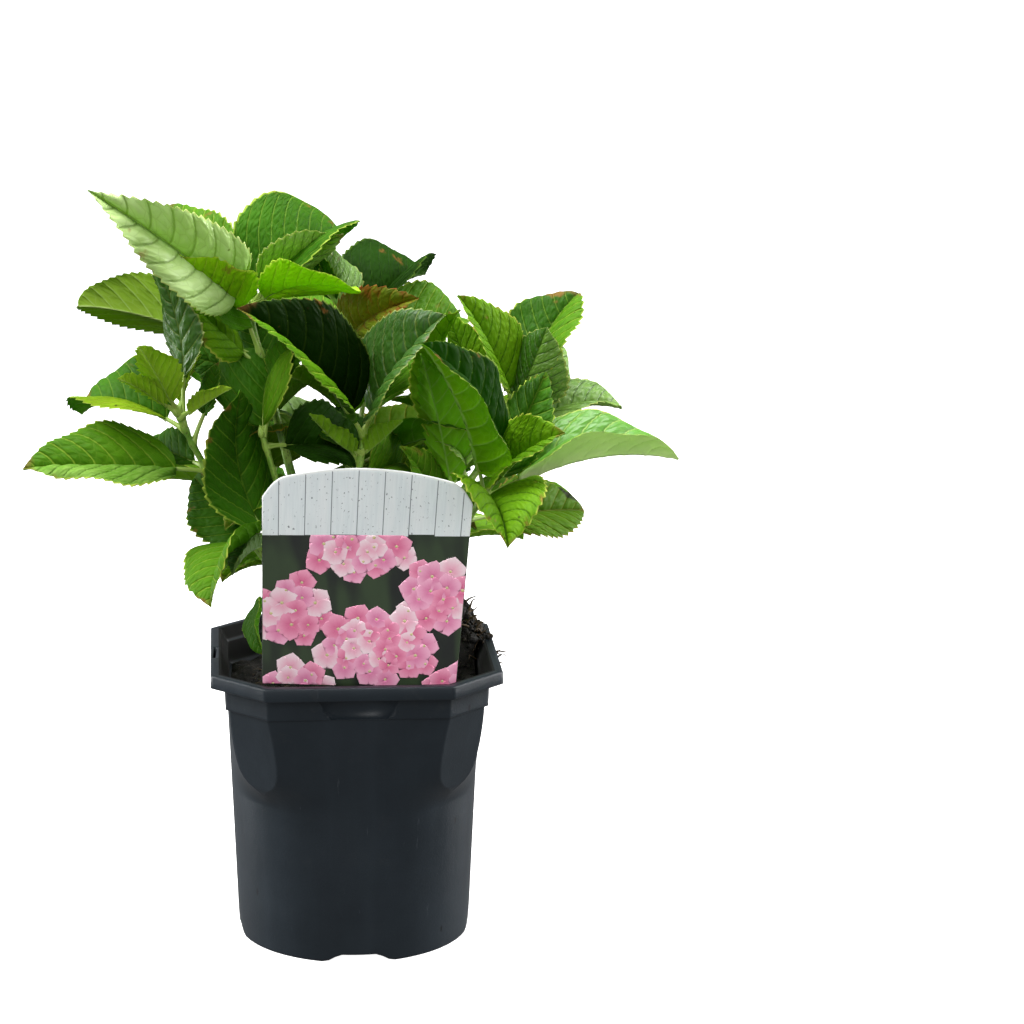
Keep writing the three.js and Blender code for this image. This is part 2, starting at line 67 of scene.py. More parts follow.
# Pot
POT_HEIGHT = 152.0
POT_YAW = math.radians(2.4)
RIM_HALF = 75.0
RIM_CUT = 27.5
RIM_DEPTH = 7.0
RIM_WIDTH = 6.0
RIM_UNDER = POT_HEIGHT - RIM_DEPTH
BAND_HALF = 67.6
BAND_CUT = 21.8
BODY_TOP = POT_HEIGHT - 19.0
BODY_HALF = 66.8
BASE_RADIUS = 61.2
BODY_BULGE = 0.12
FACET_BOTTOM = 80.0
BLEND_FROM = 0.6
FACET_AT_TOP = 79.0
FACET_AT_BOTTOM = 68.2
POT_WALL = 1.8
FLOOR_LIFT = 5.0
STANDING_WIDTH = 2.8
PAD_RADIUS = 14.0
NOTCH_HALF = 17.0
NOTCH_HEIGHT = 4.2
NOTCH_TAPER = 7.0
SLOT = {"across": 1.6, "along": 20.0, "x": -72.6, "y": -7.0, "below": 8, "above": 4}
POCKET = {"wide": 20.5, "narrow": 14.5, "drop": 10.0, "depth": 0.08, "clear": 1.5}
DRAIN = {"radius": 5.5, "ring": 40.0, "count": 4, "from": 1, "to": 9}
# Painted shade on the inner wall: its half widths to the sides and to the corner flats, in metres
INNER_SHADE = {"half": 0.0667, "flat": 0.0787, "flare": 0.6, "flare_from": 0.145, "edge": 0.0003,
         "heights": (0.1325, 0.134)}

# Soil
SOIL_LEVEL = 131.0
SOIL_LUMPS = (1.6, 1.1)
FOOT_CLEARING = 30.0
HEAP = {"x": 57.0, "y": 25.0, "height": 37.0, "spread": 10.5}
SOIL_HEIGHTS = (40, 80, 97, 115, 126, 130)
CRUMBS = {"reach": 63, "edge": 64, "heap_share": 0.35, "heap_edge": 76, "rim": 69, "big": 0.06, "dry": 0.2}
CRUMB = {"sizes": (0.5, 1.6), "sunk": 0.35, "pole": 0.25, "dents": 0.28, "stretch": (0.6, 1.3)}
STRAWS = {"heap_share": 0.6, "edge": 64, "steep": 0.5, "lift": 0.4, "wobble": 0.9, "root_thick": 1.9}
STRAND = {"steps": 12, "sides": 6, "taper": 0.75}
SOIL_SEED = 41
SEAT = 0.3

# Plant label
LABEL = {"bottom": 149.2, "shoulder": 254.0, "rise": 8.7, "thickness": 0.9, "x": 0.3, "y": -62.3}
LABEL_HALF_BOTTOM = 49.2
LABEL_HALF_TOP = 52.8
LABEL_CORNER = {"from": 0.8, "drop": 7.8}
LABEL_LEAN = math.radians(2.6)
CARD_EDGE = 0.6
STAKE = {"half": 11.0, "tip_half": 4.0, "depth": 45.0, "point": 14.0}
BOARD_COUNT = 3.97
BOARD_SHIFT = 0.37
BOARDS_FROM = 0.694
BOARDS_TILT = 0.0125
PICTURE_SIDE = 0.994
PICTURE_FOOT = 0.006
PICTURE_HEAD = 0.004
FLOWER_TURN = 2.4
PETALS = 5
# How far the print stands out of the card: the last flower, what the first of a spray adds, what each
# flower adds, each petal over the last, the petal's dish, and the heart over the petals and its own dish
PRINT = {"level": 0.03, "spray": 0.022, "flower": 0.0004, "petal": 0.0015, "dish": 0.012, "heart": 0.014,
         "heart_dish": 0.02}
# Sprays of printed flowers: middle across and up, half width and height, number of flowers
SPRAYS = (
    (-0.72, 0.34, 0.34, 0.15, 14),
    (-0.05, 0.62, 0.5, 0.09, 16),
    (0.74, 0.42, 0.34, 0.15, 15),
    (0.16, 0.18, 0.56, 0.15, 28),
    (-0.62, 0.02, 0.34, 0.07, 8),
    (0.95, 0.02, 0.2, 0.07, 5),
)

# Foot and stems
FOOT = (-5.0, 2.0)
FOOT_LEAN = 0.04
FOOT_COLUMNS, FOOT_ROWS = 128, 90
FOOT_FLARE = {"lobes": 4, "size": 0.12, "height": 8.0, "sunk": 2.0}
FOOT_RIDGES = 7
FOOT_PROFILE = ((11.5, 0.0), (8.8, 4.5), (7.8, 11.0), (8.3, 19.0), (7.8, 24.5), (4.2, 27.2))
STEM_ROOT_RADIUS = 2.9
STEM_TIP_RADIUS = 1.3
STEM_TAPER = 1.4
SWELLING_WIDTH = 2.4
SCARS = {"first": 0.12, "step": 0.17, "clear": 0.08, "height": 0.6, "width": 1.1}
STALK_RADIUS = 1.35
STALK_TAPER = 0.8
STALK_BOW = 0.02
STALK_SINK = 0.35
STALK_LAP = {"shares": (0.015, 0.15), "radii": (0.9, 0.22), "steps": 5}
CLASP = {"height": 0.85, "length": 3.2}
STALK_CHANNEL = 0.16
STEM_END = {"from": 0.97, "taper": 0.25}
STEM_RIDGES = (0.13, 0.06)
WOODY = {"root": 1.08, "slope": 1.5}
BUD_LENGTH = 7.0
BUD_SINK = 0.6
BUD = {"steps": 9, "sides": 10, "lean": 0.2, "girth": 0.24, "point": 0.05}

# Leaves
LEAF_SHOULDER = 0.62
LEAF_POINT = 0.95
LEAF_TIP_HALF = 0.5
COLUMNS = (0, 0.03, 0.09, 0.18, 0.29, 0.4, 0.51, 0.62, 0.72, 0.81, 0.89, 0.95, 0.985, 1)
TOOTH_STEPS = (0.0, 0.3, 0.62, 0.86)
TOOTH_MIDDLE = 0.6
FEWEST_TEETH = 9
GROWN_LENGTH = 95.0
VEIN_SWEEP = (0.7, 0.3)
VEINS_BEFORE = 20
TWIST = 7.0
TWIST_FROM = 0.4
WAVES = (1.7, 2.6)
SHORT_WAVE = {"share": 0.35, "across": 5.1, "along": 9}
DOME = (0.22, 0.38)
DIP_HALF = 1.6
RIB_HALF = 1.2
RIB_FROM = 1.15
SIDE_RIB = {"height": 0.3, "half": 0.3}
VEIN_BREADTH = 3.5
LEAST_ARCH = 1
LEAF_SEED = 100
SKIN_SHARE = 0.0025

# The seeded pairs. Sizes, widths, folds and arches have their least value and how far they vary; the rise
# has its value at the lowest pair, what the way up the shoot adds, and how far it varies.
PAIR_LAST = 0.99
PAIR_SHRINK = 0.42
PAIR_STALK = 0.2
PAIR_SIZE = (0.9, 0.2)
PAIR_WIDTH = (0.6, 0.1)
PAIR_RISE = (4, 34, 14)
PAIR_SCATTER = 24
PAIR_FOLD = (16, 14)
PAIR_ARCH = (30, 24)

# Shoots: root, bend and tip of the stem, then the leaves, each with its place along the stem, heading,
# rise, length, width, roll, fold, arch, length of stalk, look and, where it is not usual, its point.
# Some looks paint light and shade: lit and shaded copies of the greens, and two-tone leaves with one half
# lit.
SHOOTS = {
    "centre": {
        "stem": ((0.5, -1.5, 154), (-2, -10, 213), (5, -14, 269)),
        "leaves": (
            (1.00, -140, 41, 95, 62, -60, 34, 31, 20, "night_and_mid"),
            (1.00, -42, 50, 75, 58, 57, 23, 25, 16, "grey"),
            (0.92, -138, 38, 40, 15, 22, 27, -26, 4, "fresh"),
            (0.92, -49, 36, 35, 15, -13, 36, -4, 4, "fresh"),
            (0.80, 66, -3, 44, 38, 60, 24, 38, 9, "mid"),
            (0.88, 118, 8, 58, 38, 0, 22, 30, 12, "shadow"),
        ),
    },
    "top_left": {
        "stem": ((-9.5, 5, 154), (-33, 8, 247), (-54, 12, 332)),
        "leaves": (
            (1.00, -140, 34, 109, 51, -97, 34, 46, 21, "dewy", 1.1),
            (0.96, 125, 32, 77, 42, -36, 18, 21, 17, "mid"),
            (0.84, -149, 18, 95, 52, 72, 53, 55, 18, "olive"),
            (0.79, -157, 43, 52, 41, -36, -8, 9, 18, "fresh"),
            (0.78, 150, 9, 46, 38, -82, -20, -20, 7, "deep"),
            (0.74, 142, 65, 44, 28, -63, -22, -20, 12, "deep"),
            (0.97, -122, 32, 63, 45, 176, -35, 8, 12, "sunlit"),
            (0.97, 44, 23, 65, 73, 14, 36, 70, 15, "deep", 0.75),
            (1.00, -6, 35, 52, 41, 141, -12, -32, 11, "silver"),
            (1.00, -39, 8, 65, 45, 154, -14, -42, 11, "sunlit"),
            (0.86, -114, 70, 38, 34, 84, 8, 28, 15, "deep"),
        ),
    },
    "right": {
        "stem": ((-5, 2, 141), (37, -28, 191), (66, -40, 243)),
        "leaves": (
            (1.00, -121, 52, 95, 58, -65, 40, 24, 19, "folded"),
            (1.00, 49, 49, 65, 32, 52, 24, 29, 12, "deep"),
            (1.00, -35, 37, 53, 45, 43, 27, 34, 11, "fresh"),
            (0.98, 10, 6, 87, 58, 5, 39, 42, 22, "pale", 1.0),
            (0.96, -81, -9, 63, 55, -7, 31, 60, 12, "fresh"),
            (0.88, 42, -6, 69, 41, 48, 14, 13, 16, "burnt"),
        ),
    },
    "left_low": {
        "stem": ((-5, 2, 148), (-66, -12, 225), (-89, -25, 283)),
        "leaves": (
            (1.00, -116, 47, 47, 24, 17, 27, 13, 9, "lime"),
            (1.00, -135, 30, 38, 14, 44, 33, 26, 8, "lime"),
            (1.00, 71, 35, 36, 14, -9, 41, 31, 7, "lime"),
            (0.98, -38, 30, 33, 13, -23, 24, 11, 7, "lime"),
            (0.94, -173, 76, 64, 30, -146, -12, -35, 25, "grey"),
            (0.92, 137, -5, 69, 53, -22, 29, 64, 13, "deep_and_lime", 0.9),
            (0.74, -163, 4, 79, 56, -25, 16, 12, 17, "mid_and_silver"),
            (0.76, 123, 2, 55, 25, -37, 19, 6, 11, "deep"),
            (0.86, 31, 72, 28, 21, 0, 8, -9, 16, "deep"),
        ),
    },
    "right_back": {
        "stem": ((-5, 2, 150), (45, 0, 216), (85, 10, 277)),
        "leaves": (
            (1.00, -156, 61, 60, 44, -52, 23, 16, 13, "fresh"),
            (1.00, 42, 49, 63, 48, 6, 19, 42, 13, "mid_and_deep", 0.8),
            (0.91, -32, 67, 48, 44, 90, -30, -10, 15, "silver_and_deep"),
            (0.97, 74, 32, 57, 46, 70, 22, 37, 16, "silver"),
            (0.90, 24, 4, 62, 38, 22, 28, 50, 13, "silver"),
            (0.70, -90, 66, 102, 31, -147, -47, -92, 14, "fresh"),
            (0.62, -159, 76, 72, 29, 39, 16, 15, 11, "bright"),
            (0.55, -157, 58, 41, 27, -51, 15, 26, 8, "mid"),
            (0.62, 117, 24, 42, 24, -35, 23, 41, 8, "mid"),
            (0.91, 146, 64, 42, 34, -106, -19, 18, 28, "fresh"),
        ),
    },
    "left_front": {
        "stem": ((-5, 2, 140), (-33, -30, 186), (-43, -36, 221)),
        "leaves": (
            (1.00, 161, 81, 75, 57, -16, -5, -59, 5, "deep"),
            (0.90, 128, 21, 61, 42, -57, 17, 28, 12, "deep"),
            (0.95, -113, -18, 61, 48, 32, 28, 57, 12, "mid"),
            (0.98, -111, -10, 41, 18, 21, 41, 32, 8, "grey"),
            (0.73, -87, -61, 31, 36, 81, 8, 70, 18, "deep"),
        ),
    },
    "front_centre": {
        "stem": ((-8, -3.5, 154), (-28, -15, 204), (-46, -24, 271)),
        "leaves": (
            (1.00, 76, 31, 63, 55, -16, 32, 70, 5, "mid_and_deep"),
            (0.96, 47, -13, 59, 47, 49, 26, 32, 12, "shadow"),
            (1.00, 45, 59, 36, 28, -6, 8, 14, 28, "deep"),
        ),
    },
    "top_centre": {
        "stem": ((0, 7, 154), (-4, 22, 244), (-1, 34, 313)),
        "leaves": (
            (1.00, 58, 14, 65, 64, 7, 44, 39, 16, "shadow"),
            (0.98, -52, 26, 62, 35, 80, 32, 57, 12, "bronze"),
            (0.92, 42, 6, 69, 45, 44, 29, 60, 14, "mid"),
            (0.90, 128, 12, 74, 46, 0, 20, 36, 15, "mid"),
            (0.78, 84, 2, 78, 48, 0, 22, 40, 16, "olive"),
            (0.98, 138, 58, 40, 36, 6, 12, 30, 17, "silver"),
            (1.00, -172, 66, 33, 23, -146, 8, -1, 21, "deep"),
        ),
    },
    "back_centre": {
        "stem": ((-5, 2, 147), (-2, 40, 210), (6, 74, 276)),
        "pairs": {"seed": 347, "count": 4, "start": 0.57, "heading": 60, "length": 87},
    },
    "back_left": {
        "stem": ((-5, 2, 140), (-34, 36, 200), (-52, 62, 256)),
        "pairs": {"seed": 177, "count": 3, "start": 0.56, "heading": 165, "length": 85},
    },
    "back_right": {
        "stem": ((-5, 2, 141), (38, 34, 198), (62, 58, 248)),
        "pairs": {"seed": 355, "count": 3, "start": 0.63, "heading": 175, "length": 75},
    },
    "back_low_left": {
        "stem": ((-5, 2, 139), (-26, 56, 172), (-34, 92, 198)),
        "pairs": {"seed": 32, "count": 2, "start": 0.61, "heading": 55, "length": 71},
    },
    "back_low_right": {
        "stem": ((-5, 2, 139), (22, 58, 172), (40, 90, 200)),
        "pairs": {"seed": 327, "count": 2, "start": 0.68, "heading": 30, "length": 71},
    },
}
PAIR_LOOKS = ("mid", "fresh", "deep", "olive", "mid", "silver", "deep", "fresh")

# Leaf looks: upper face, its paler zones, underside, margin, the light that comes through, and the sheen.
# A look such as mid_and_deep is a leaf with mid tissue where across is below 0 and deep tissue above 0:
# its halves are painted lit and shaded. Some looks are lit or shaded copies of others, noted below.
LOOKS = {
    # painted shade: a near-black copy of the greens for a leaf half in deep shade
    "night": ("0c2202", "152e03", "3c6c0c", "6c8430", "265004", 0.05),
    # painted shade on the near-black upper face and painted light on the bright underside of a fold
    "folded": ("0f2602", "1a3c03", "74b40a", "8ca840", "5c9c04", 0.05),
    # painted light: a lit copy of the fresh greens for leaves that catch the light
    "bright": ("4c9604", "60ac08", "70ac18", "b0c840", "80c40c", 0.12),
    "sunlit": ("84c408", "98cc10", "9cc820", "c4d44c", "a4d810", 0.1),
    "shadow": ("142e02", "224805", "2c5410", "4c6a1c", "2a5204", 0.05),
    "deep": ("254c04", "3c7008", "5a9810", "a8c048", "4f8a04", 0.08),
    "mid": ("3f6e04", "588a0a", "629618", "b4c448", "6ca008", 0.12),
    "fresh": ("548604", "6e9a0c", "76a01e", "bcc64c", "80ae0a", 0.12),
    "lime": ("6e9608", "86aa18", "8cae28", "c6c04c", "9cc210", 0.12),
    "silver": ("64942a", "84a848", "90ac50", "bcc860", "80a820", 0.6),
    # painted sheen: pale silvery tissue for the leaf that catches the light
    "dewy": ("a8ca6a", "c2dc90", "a4c066", "c6d070", "9cc030", 0.6),
    # painted light: a near-white underside where the front light falls on the leaf's band
    "pale": ("38701a", "57902c", "e6f2b4", "c2cc62", "b8e05c", 0.6),
    "grey": ("2a520c", "447420", "648c34", "a8b458", "548412", 0.62),
    "olive": ("426804", "618a10", "647e1e", "c0a03c", "7a9c10", 0.1),
    "bronze": ("46600a", "6a7c14", "7c8428", "9a5426", "8a8a18", 0.12),
    "burnt": ("446e04", "5f8c0e", "6c9420", "a08a3c", "72a008", 0.14),
}
# How near the side veins come to the margin's colour, where they are paler than the tissue
PALER_VEINS = {"night": 0.1, "folded": 0.12, "shadow": 0.12, "deep": 0.24}
PALER_VEINS_USUAL = 0.4
# Looks whose veins are painted dark as shade in their grooves, and the share of the face's colour they keep
GROOVE_SHADED_LOOKS = ("silver", "dewy", "fresh")
GROOVE_SHADE_SHARE = 0.45
PALE_RIB = (0.55, 0.66, 0.32)
THROUGH_SHARE = 0.36

# Lamps: name, setting with the power, place in metres, width and height
LAMPS = (
    ("key", "key", (-1.3, -0.1, 1.9), 0.9, 0.9),
    ("fill", "fill", (1.7, -0.3, 1.2), 1.0, 1.0),
    ("top", "top", (0.1, 0.3, 2.1), 1.2, 1.2),
    ("front", "front", (-0.7, -2.2, 1.2), 1.0, 1.0),
    ("left_strip", "strips", (-1.4, 0.5, 0.4), 0.3, 1.3),
    ("right_strip", "strips", (1.4, 0.6, 0.4), 0.3, 1.3),
)
LAMP_TARGET = (0, 0, 0.2)
FLOOR_REACH = 30.0


# Meshes

class Piece:
    """Gathers closed surfaces, each a grid of points wrapped round into a skin, and makes one mesh of them.

    Every surface has maps of its own, and a cell of the piece's bake map, where its grid lies unrolled.
    """

    def __init__(self, name):
        self.name = name
        self.surfaces = []

    def add(self, points, maps=None, finish=0, unroll=None, under=None):
        """points has shape rows, columns, 3. A map has shape rows, columns + 1, 2, its last column the seam.
        under is 1 for the columns of faces that are a leaf's underside or the card's back."""
        points = np.asarray(points, float)
        columns = points.shape[1]
        under = np.zeros(columns) if under is None else under
        unroll = np.linspace(0, 1, columns + 1) if unroll is None else unroll
        self.surfaces.append((points, maps or {}, finish, unroll, under))

    def build(self, finishes, replaced=()):
        """The finished piece, riding on the plant's one body."""
        piece = self.mesh_object(finishes)
        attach(piece, "root")
        if replaced:
            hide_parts(*replaced)
        return piece

    def bake_cell(self, number, rows, unroll):
        """A surface's own cell of the bake map, its rows upwards and its columns as unrolled."""
        across = math.ceil(math.sqrt(len(self.surfaces)))
        down = math.ceil(len(self.surfaces) / across)
        corner = np.array([number % across, number // across])
        inside = grid_map(unroll, np.linspace(0, 1, rows))
        return (corner + CELL_MARGIN + (1 - 2 * CELL_MARGIN) * inside) / np.array([across, down])

    def mesh_object(self, finishes):
        """Puts all surfaces into one object, whose faces point outwards: a surface with a negative signed
        volume has its faces reversed."""
        names = sorted({name for surface in self.surfaces for name in surface[1]})
        places, loops, sizes, slots, unders = [], [], [], [], []
        maps = {name: [] for name in names + ["OFBake"]}
        offset = 0
        for number, (points, own, finish, unroll, under) in enumerate(self.surfaces):
            cell = self.bake_cell(number, len(points), unroll)
            values = {name: np.asarray(own.get(name, np.zeros(cell.shape))) for name in names}
            values["OFBake"] = cell
            flat, faces = closed_skin(points, values)
            turn = 1 if signed_volume(flat, faces) > 0 else -1
            for corners, shown in faces:
                loops.append((corners[:, ::turn] + offset).ravel())
                sizes.append(np.full(len(corners), corners.shape[1]))
                slots.append(np.full(len(corners), finish))
                for name in maps:
                    maps[name].append(shown[name][:, ::turn].reshape(-1, 2))
            unders += [np.tile(under, len(points) - 1), np.zeros(2 * len(under))]
            places.append(flat)
            offset += len(flat)
        arrays = [np.concatenate(part) for part in (places, loops, sizes, slots, unders)]
        return self.fill_mesh(arrays, maps, finishes)

    def fill_mesh(self, arrays, maps, finishes):
        """One smooth mesh from the points, the faces' corners, sizes, materials and undersides, and maps."""
        points, loops, sizes, slots, unders = arrays
        mesh = bpy.data.meshes.new(self.name)
        mesh.vertices.add(len(points))
        mesh.vertices.foreach_set("co", (points * MM).astype(np.float32).ravel())
        mesh.loops.add(len(loops))
        mesh.loops.foreach_set("vertex_index", loops.astype(np.int32))
        mesh.polygons.add(len(sizes))
        starts = np.concatenate([[0], np.cumsum(sizes)[:-1]])
        mesh.polygons.foreach_set("loop_start", starts.astype(np.int32))
        mesh.update(calc_edges=True)
        mesh.validate()
        for name, values in maps.items():
            layer = mesh.uv_layers.new(name=name)
            layer.uv.foreach_set("vector", np.concatenate(values).astype(np.float32).ravel())
        flag = mesh.attributes.new("under", "FLOAT", "FACE")
        flag.data.foreach_set("value", unders.astype(np.float32))
        for material in finishes:
            mesh.materials.append(material)
        mesh.polygons.foreach_set("material_index", slots.astype(np.int32))
        mesh.polygons.foreach_set("use_smooth", np.ones(len(sizes), bool))
        return link(self.name, mesh)


def link(name, data):
    """A new object in the scene."""
    thing = bpy.data.objects.new(name, data)
    bpy.context.scene.collection.objects.link(thing)
    return thing


def face_corners(grid):
    """The four values round each face of a grid whose last column is the seam."""
    corners = np.stack([grid[:-1, :-1], grid[:-1, 1:], grid[1:, 1:], grid[1:, :-1]], 2)
    return corners.reshape(-1, 4, *grid.shape[2:])


def closed_skin(points, maps):
    """The grid's faces, wrapped round from the last column to the first, and a fan of triangles over each
    end with its centre at the ring's mean. Gives all points, and for each group its corners and maps."""
    rows, columns = points.shape[:2]
    index = np.arange(rows * columns).reshape(rows, columns)
    index = np.concatenate([index, index[:, :1]], 1)
    flat = points.reshape(-1, 3)
    faces = [(face_corners(index), {name: face_corners(value) for name, value in maps.items()})]
    for row, turn in ((0, -1), (rows - 1, 1)):
        middle = np.full(columns, len(flat))
        flat = np.concatenate([flat, points[row].mean(0)[None]])
        shown = {}
        for name, value in maps.items():
            line = value[row]
            centre = np.broadcast_to(line[:-1].mean(0), (columns, 2))
            shown[name] = np.stack([centre, line[:-1], line[1:]], 1)[:, ::turn]
        faces.append((np.stack([middle, index[row, :-1], index[row, 1:]], 1)[:, ::turn], shown))
    return flat, faces


def signed_volume(points, faces):
    """The sum of a . (b x c) over all triangles, six times the volume, below 0 when inside out."""
    volume = 0.0
    for corners, _ in faces:
        a = points[corners[:, 0]]
        for k in range(1, corners.shape[1] - 1):
            volume += (a * np.cross(points[corners[:, k]], points[corners[:, k + 1]])).sum()
    return volume


def unit(vectors):
    """Vectors divided by their length."""
    return vectors / np.linalg.norm(vectors, axis=-1, keepdims=True)


def grid_map(across, along):
    """A map that holds one value for each column of a grid and one for each row."""
    return np.stack(np.broadcast_arrays(np.asarray(across)[None, :], np.asarray(along)[:, None]), -1)


def tube(path, radius, sides, first=(0, 1, 0), relief=None):
    """Rings round a path: point + r (cos a u + sin a v), where u and v are square to the path's direction
    and u starts as first x direction. relief(angles, steps) is added to the radius."""
    path = np.asarray(path, float)
    direction = unit(np.gradient(path, axis=0))
    u = unit(np.cross(np.broadcast_to(np.asarray(first, float), direction.shape), direction))
    v = np.cross(direction, u)
    angle = np.linspace(0, 2 * math.pi, sides, endpoint=False)[None, :]
    reach = np.asarray(radius, float)[:, None] + 0 * angle
    if relief is not None:
        reach = reach + relief(angle, np.arange(len(path))[:, None])
    out = np.cos(angle)[..., None] * u[:, None] + np.sin(angle)[..., None] * v[:, None]
    return path[:, None] + reach[..., None] * out


def curve_point(stem, t):
    """A quadratic curve through root, bend and tip: (1 - t)^2 a + 2 t (1 - t) b + t^2 c."""
    a, b, c = (np.asarray(p, float) for p in stem)
    t = np.asarray(t, float)[..., None]
    return (1 - t) ** 2 * a + 2 * t * (1 - t) * b + t * t * c


def stem_radius(t):
    """The stem tapers from its root to its tip by a power of the way along."""
    return STEM_ROOT_RADIUS + (STEM_TIP_RADIUS - STEM_ROOT_RADIUS) * np.asarray(t) ** STEM_TAPER


def swell(t, place, length, width):
    """A swelling of height 1 round a place on a stem: exp(-(d / width)^2), d the way from it."""
    return np.exp(-((t - place) * length / width) ** 2)


def turned(x, y, turn=POT_YAW):
    """Places turned round the pot's axis: x cos - y sin, x sin + y cos."""
    cos, sin = math.cos(turn), math.sin(turn)
    return x * cos - y * sin, x * sin + y * cos


def ripple(x, y, z, seed, size):
    """Soft uneven relief between about -1 and 1: the sum of six sines in seeded directions, the k-th one
    1 + 0.55 k times as fine as the first and divided by 1 + 0.5 k."""
    chance = np.random.RandomState(seed)
    total = 0.0
    for k in range(6):
        d = unit(chance.normal(size=3)) * 2 * math.pi / size * (1 + 0.55 * k)
        total = total + np.sin(x * d[0] + y * d[1] + z * d[2] + chance.uniform(0, 6.28)) / (1 + 0.5 * k)
    return total / 2.2


# Leaves

def leaf_outline(s, sharp):
    """Half the width along the midrib: s^shoulder (1 - s)^sharp, over its own maximum so that it is 1 at
    the widest place."""
    widest = LEAF_SHOULDER / (LEAF_SHOULDER + sharp)
    return s ** LEAF_SHOULDER * (1 - s) ** sharp / (widest ** LEAF_SHOULDER * (1 - widest) ** sharp)


def leaf_axes(leaf):
    """Unit vectors along the leaf's heading and rise, to its side, and out of its upper face."""
    heading, rise, roll = (math.radians(v) for v in (leaf["heading"], leaf["rise"], leaf["roll"]))
    level_reach = math.cos(rise)
    along = np.array([level_reach * math.cos(heading), level_reach * math.sin(heading), math.sin(rise)])
    level = np.array([-math.sin(heading), math.cos(heading), 0.0])
    above = np.cross(along, level)
    side = level * math.cos(roll) + above * math.sin(roll)
    face = above * math.cos(roll) - level * math.sin(roll)
    return along, side, face


def leaf_of(row):
    """A row of the shoots' table as named values."""
    names = ("place", "heading", "rise", "length", "width", "roll", "fold", "arch", "stalk", "look", "sharp")
    leaf = dict(zip(names, row))
    leaf.setdefault("sharp", LEAF_POINT)
    leaf["bend"] = math.radians(leaf["arch"] if abs(leaf["arch"]) >= LEAST_ARCH else LEAST_ARCH)
    return leaf


def stalk_end(root, leaf):
    """Where the stalk meets the blade: the stalk sets out as the midrib's arc does, half the arch upwards."""
    along, _, face = leaf_axes(leaf)
    return root + leaf["stalk"] * (along * math.cos(leaf["bend"] / 2) + face * math.sin(leaf["bend"] / 2))


def midrib(root, leaf, s):
    """Points on the midrib and its upward directions, an arc that turns through the leaf's arch."""
    along, _, face = leaf_axes(leaf)
    length, bend = leaf["length"], leaf["bend"]
    turn = (bend * (0.5 - s))[:, None]
    middle = stalk_end(root, leaf) + length * ((math.sin(bend / 2) - np.sin(turn)) / bend) * along
    middle = middle + length * ((np.cos(turn) - math.cos(bend / 2)) / bend) * face
    return middle, np.cos(turn) * face - np.sin(turn) * along


def margin_steps(length, settings):
    """Shares along the midrib, a few to each tooth, and how far the tooth stands out at each, 0 to 1."""
    teeth = max(FEWEST_TEETH, round(length * MM / settings.tooth_pitch))
    steps = np.array(TOOTH_STEPS)
    s = np.append((np.arange(teeth)[:, None] + steps).ravel() / teeth, 1.0)
    return s, np.append(np.tile(steps / TOOTH_STEPS[-1], teeth), 0.0)


def blade_rise(s, t, half, veins, scale, fold, chance, settings):
    """How far the blade rises over its midrib: half (|t| sin(fold) + dome |t| (1 - |t|)), with the tissue
    between the side veins puffed by |sin(pi p)|^0.7, p the veins' count, and the margin's two slow waves."""
    a = np.abs(t)
    puff = settings.puff / MM * scale * np.abs(np.sin(math.pi * veins)) ** 0.7
    puff = puff * (1 - a ** 6) * np.sqrt(np.clip(a * 4, 0, 1))
    long_wave = np.sin(2 * math.pi * chance.uniform(*WAVES) * s + chance.uniform(0, 6) + 2 * t)
    wave = settings.wave / MM * scale * a * a * long_wave
    short_wave = np.sin(SHORT_WAVE["across"] * t + SHORT_WAVE["along"] * s + chance.uniform(0, 6))
    wave = wave + SHORT_WAVE["share"] * settings.wave / MM * short_wave * a
    dome = chance.uniform(*DOME)
    rise = half * (math.sin(fold) * a + dome * a * (1 - a)) + (puff + wave) * np.clip(5 * (1 - s), 0, 1)
    return rise - settings.midrib_dip / MM * np.exp(-(half * t / DIP_HALF) ** 2)


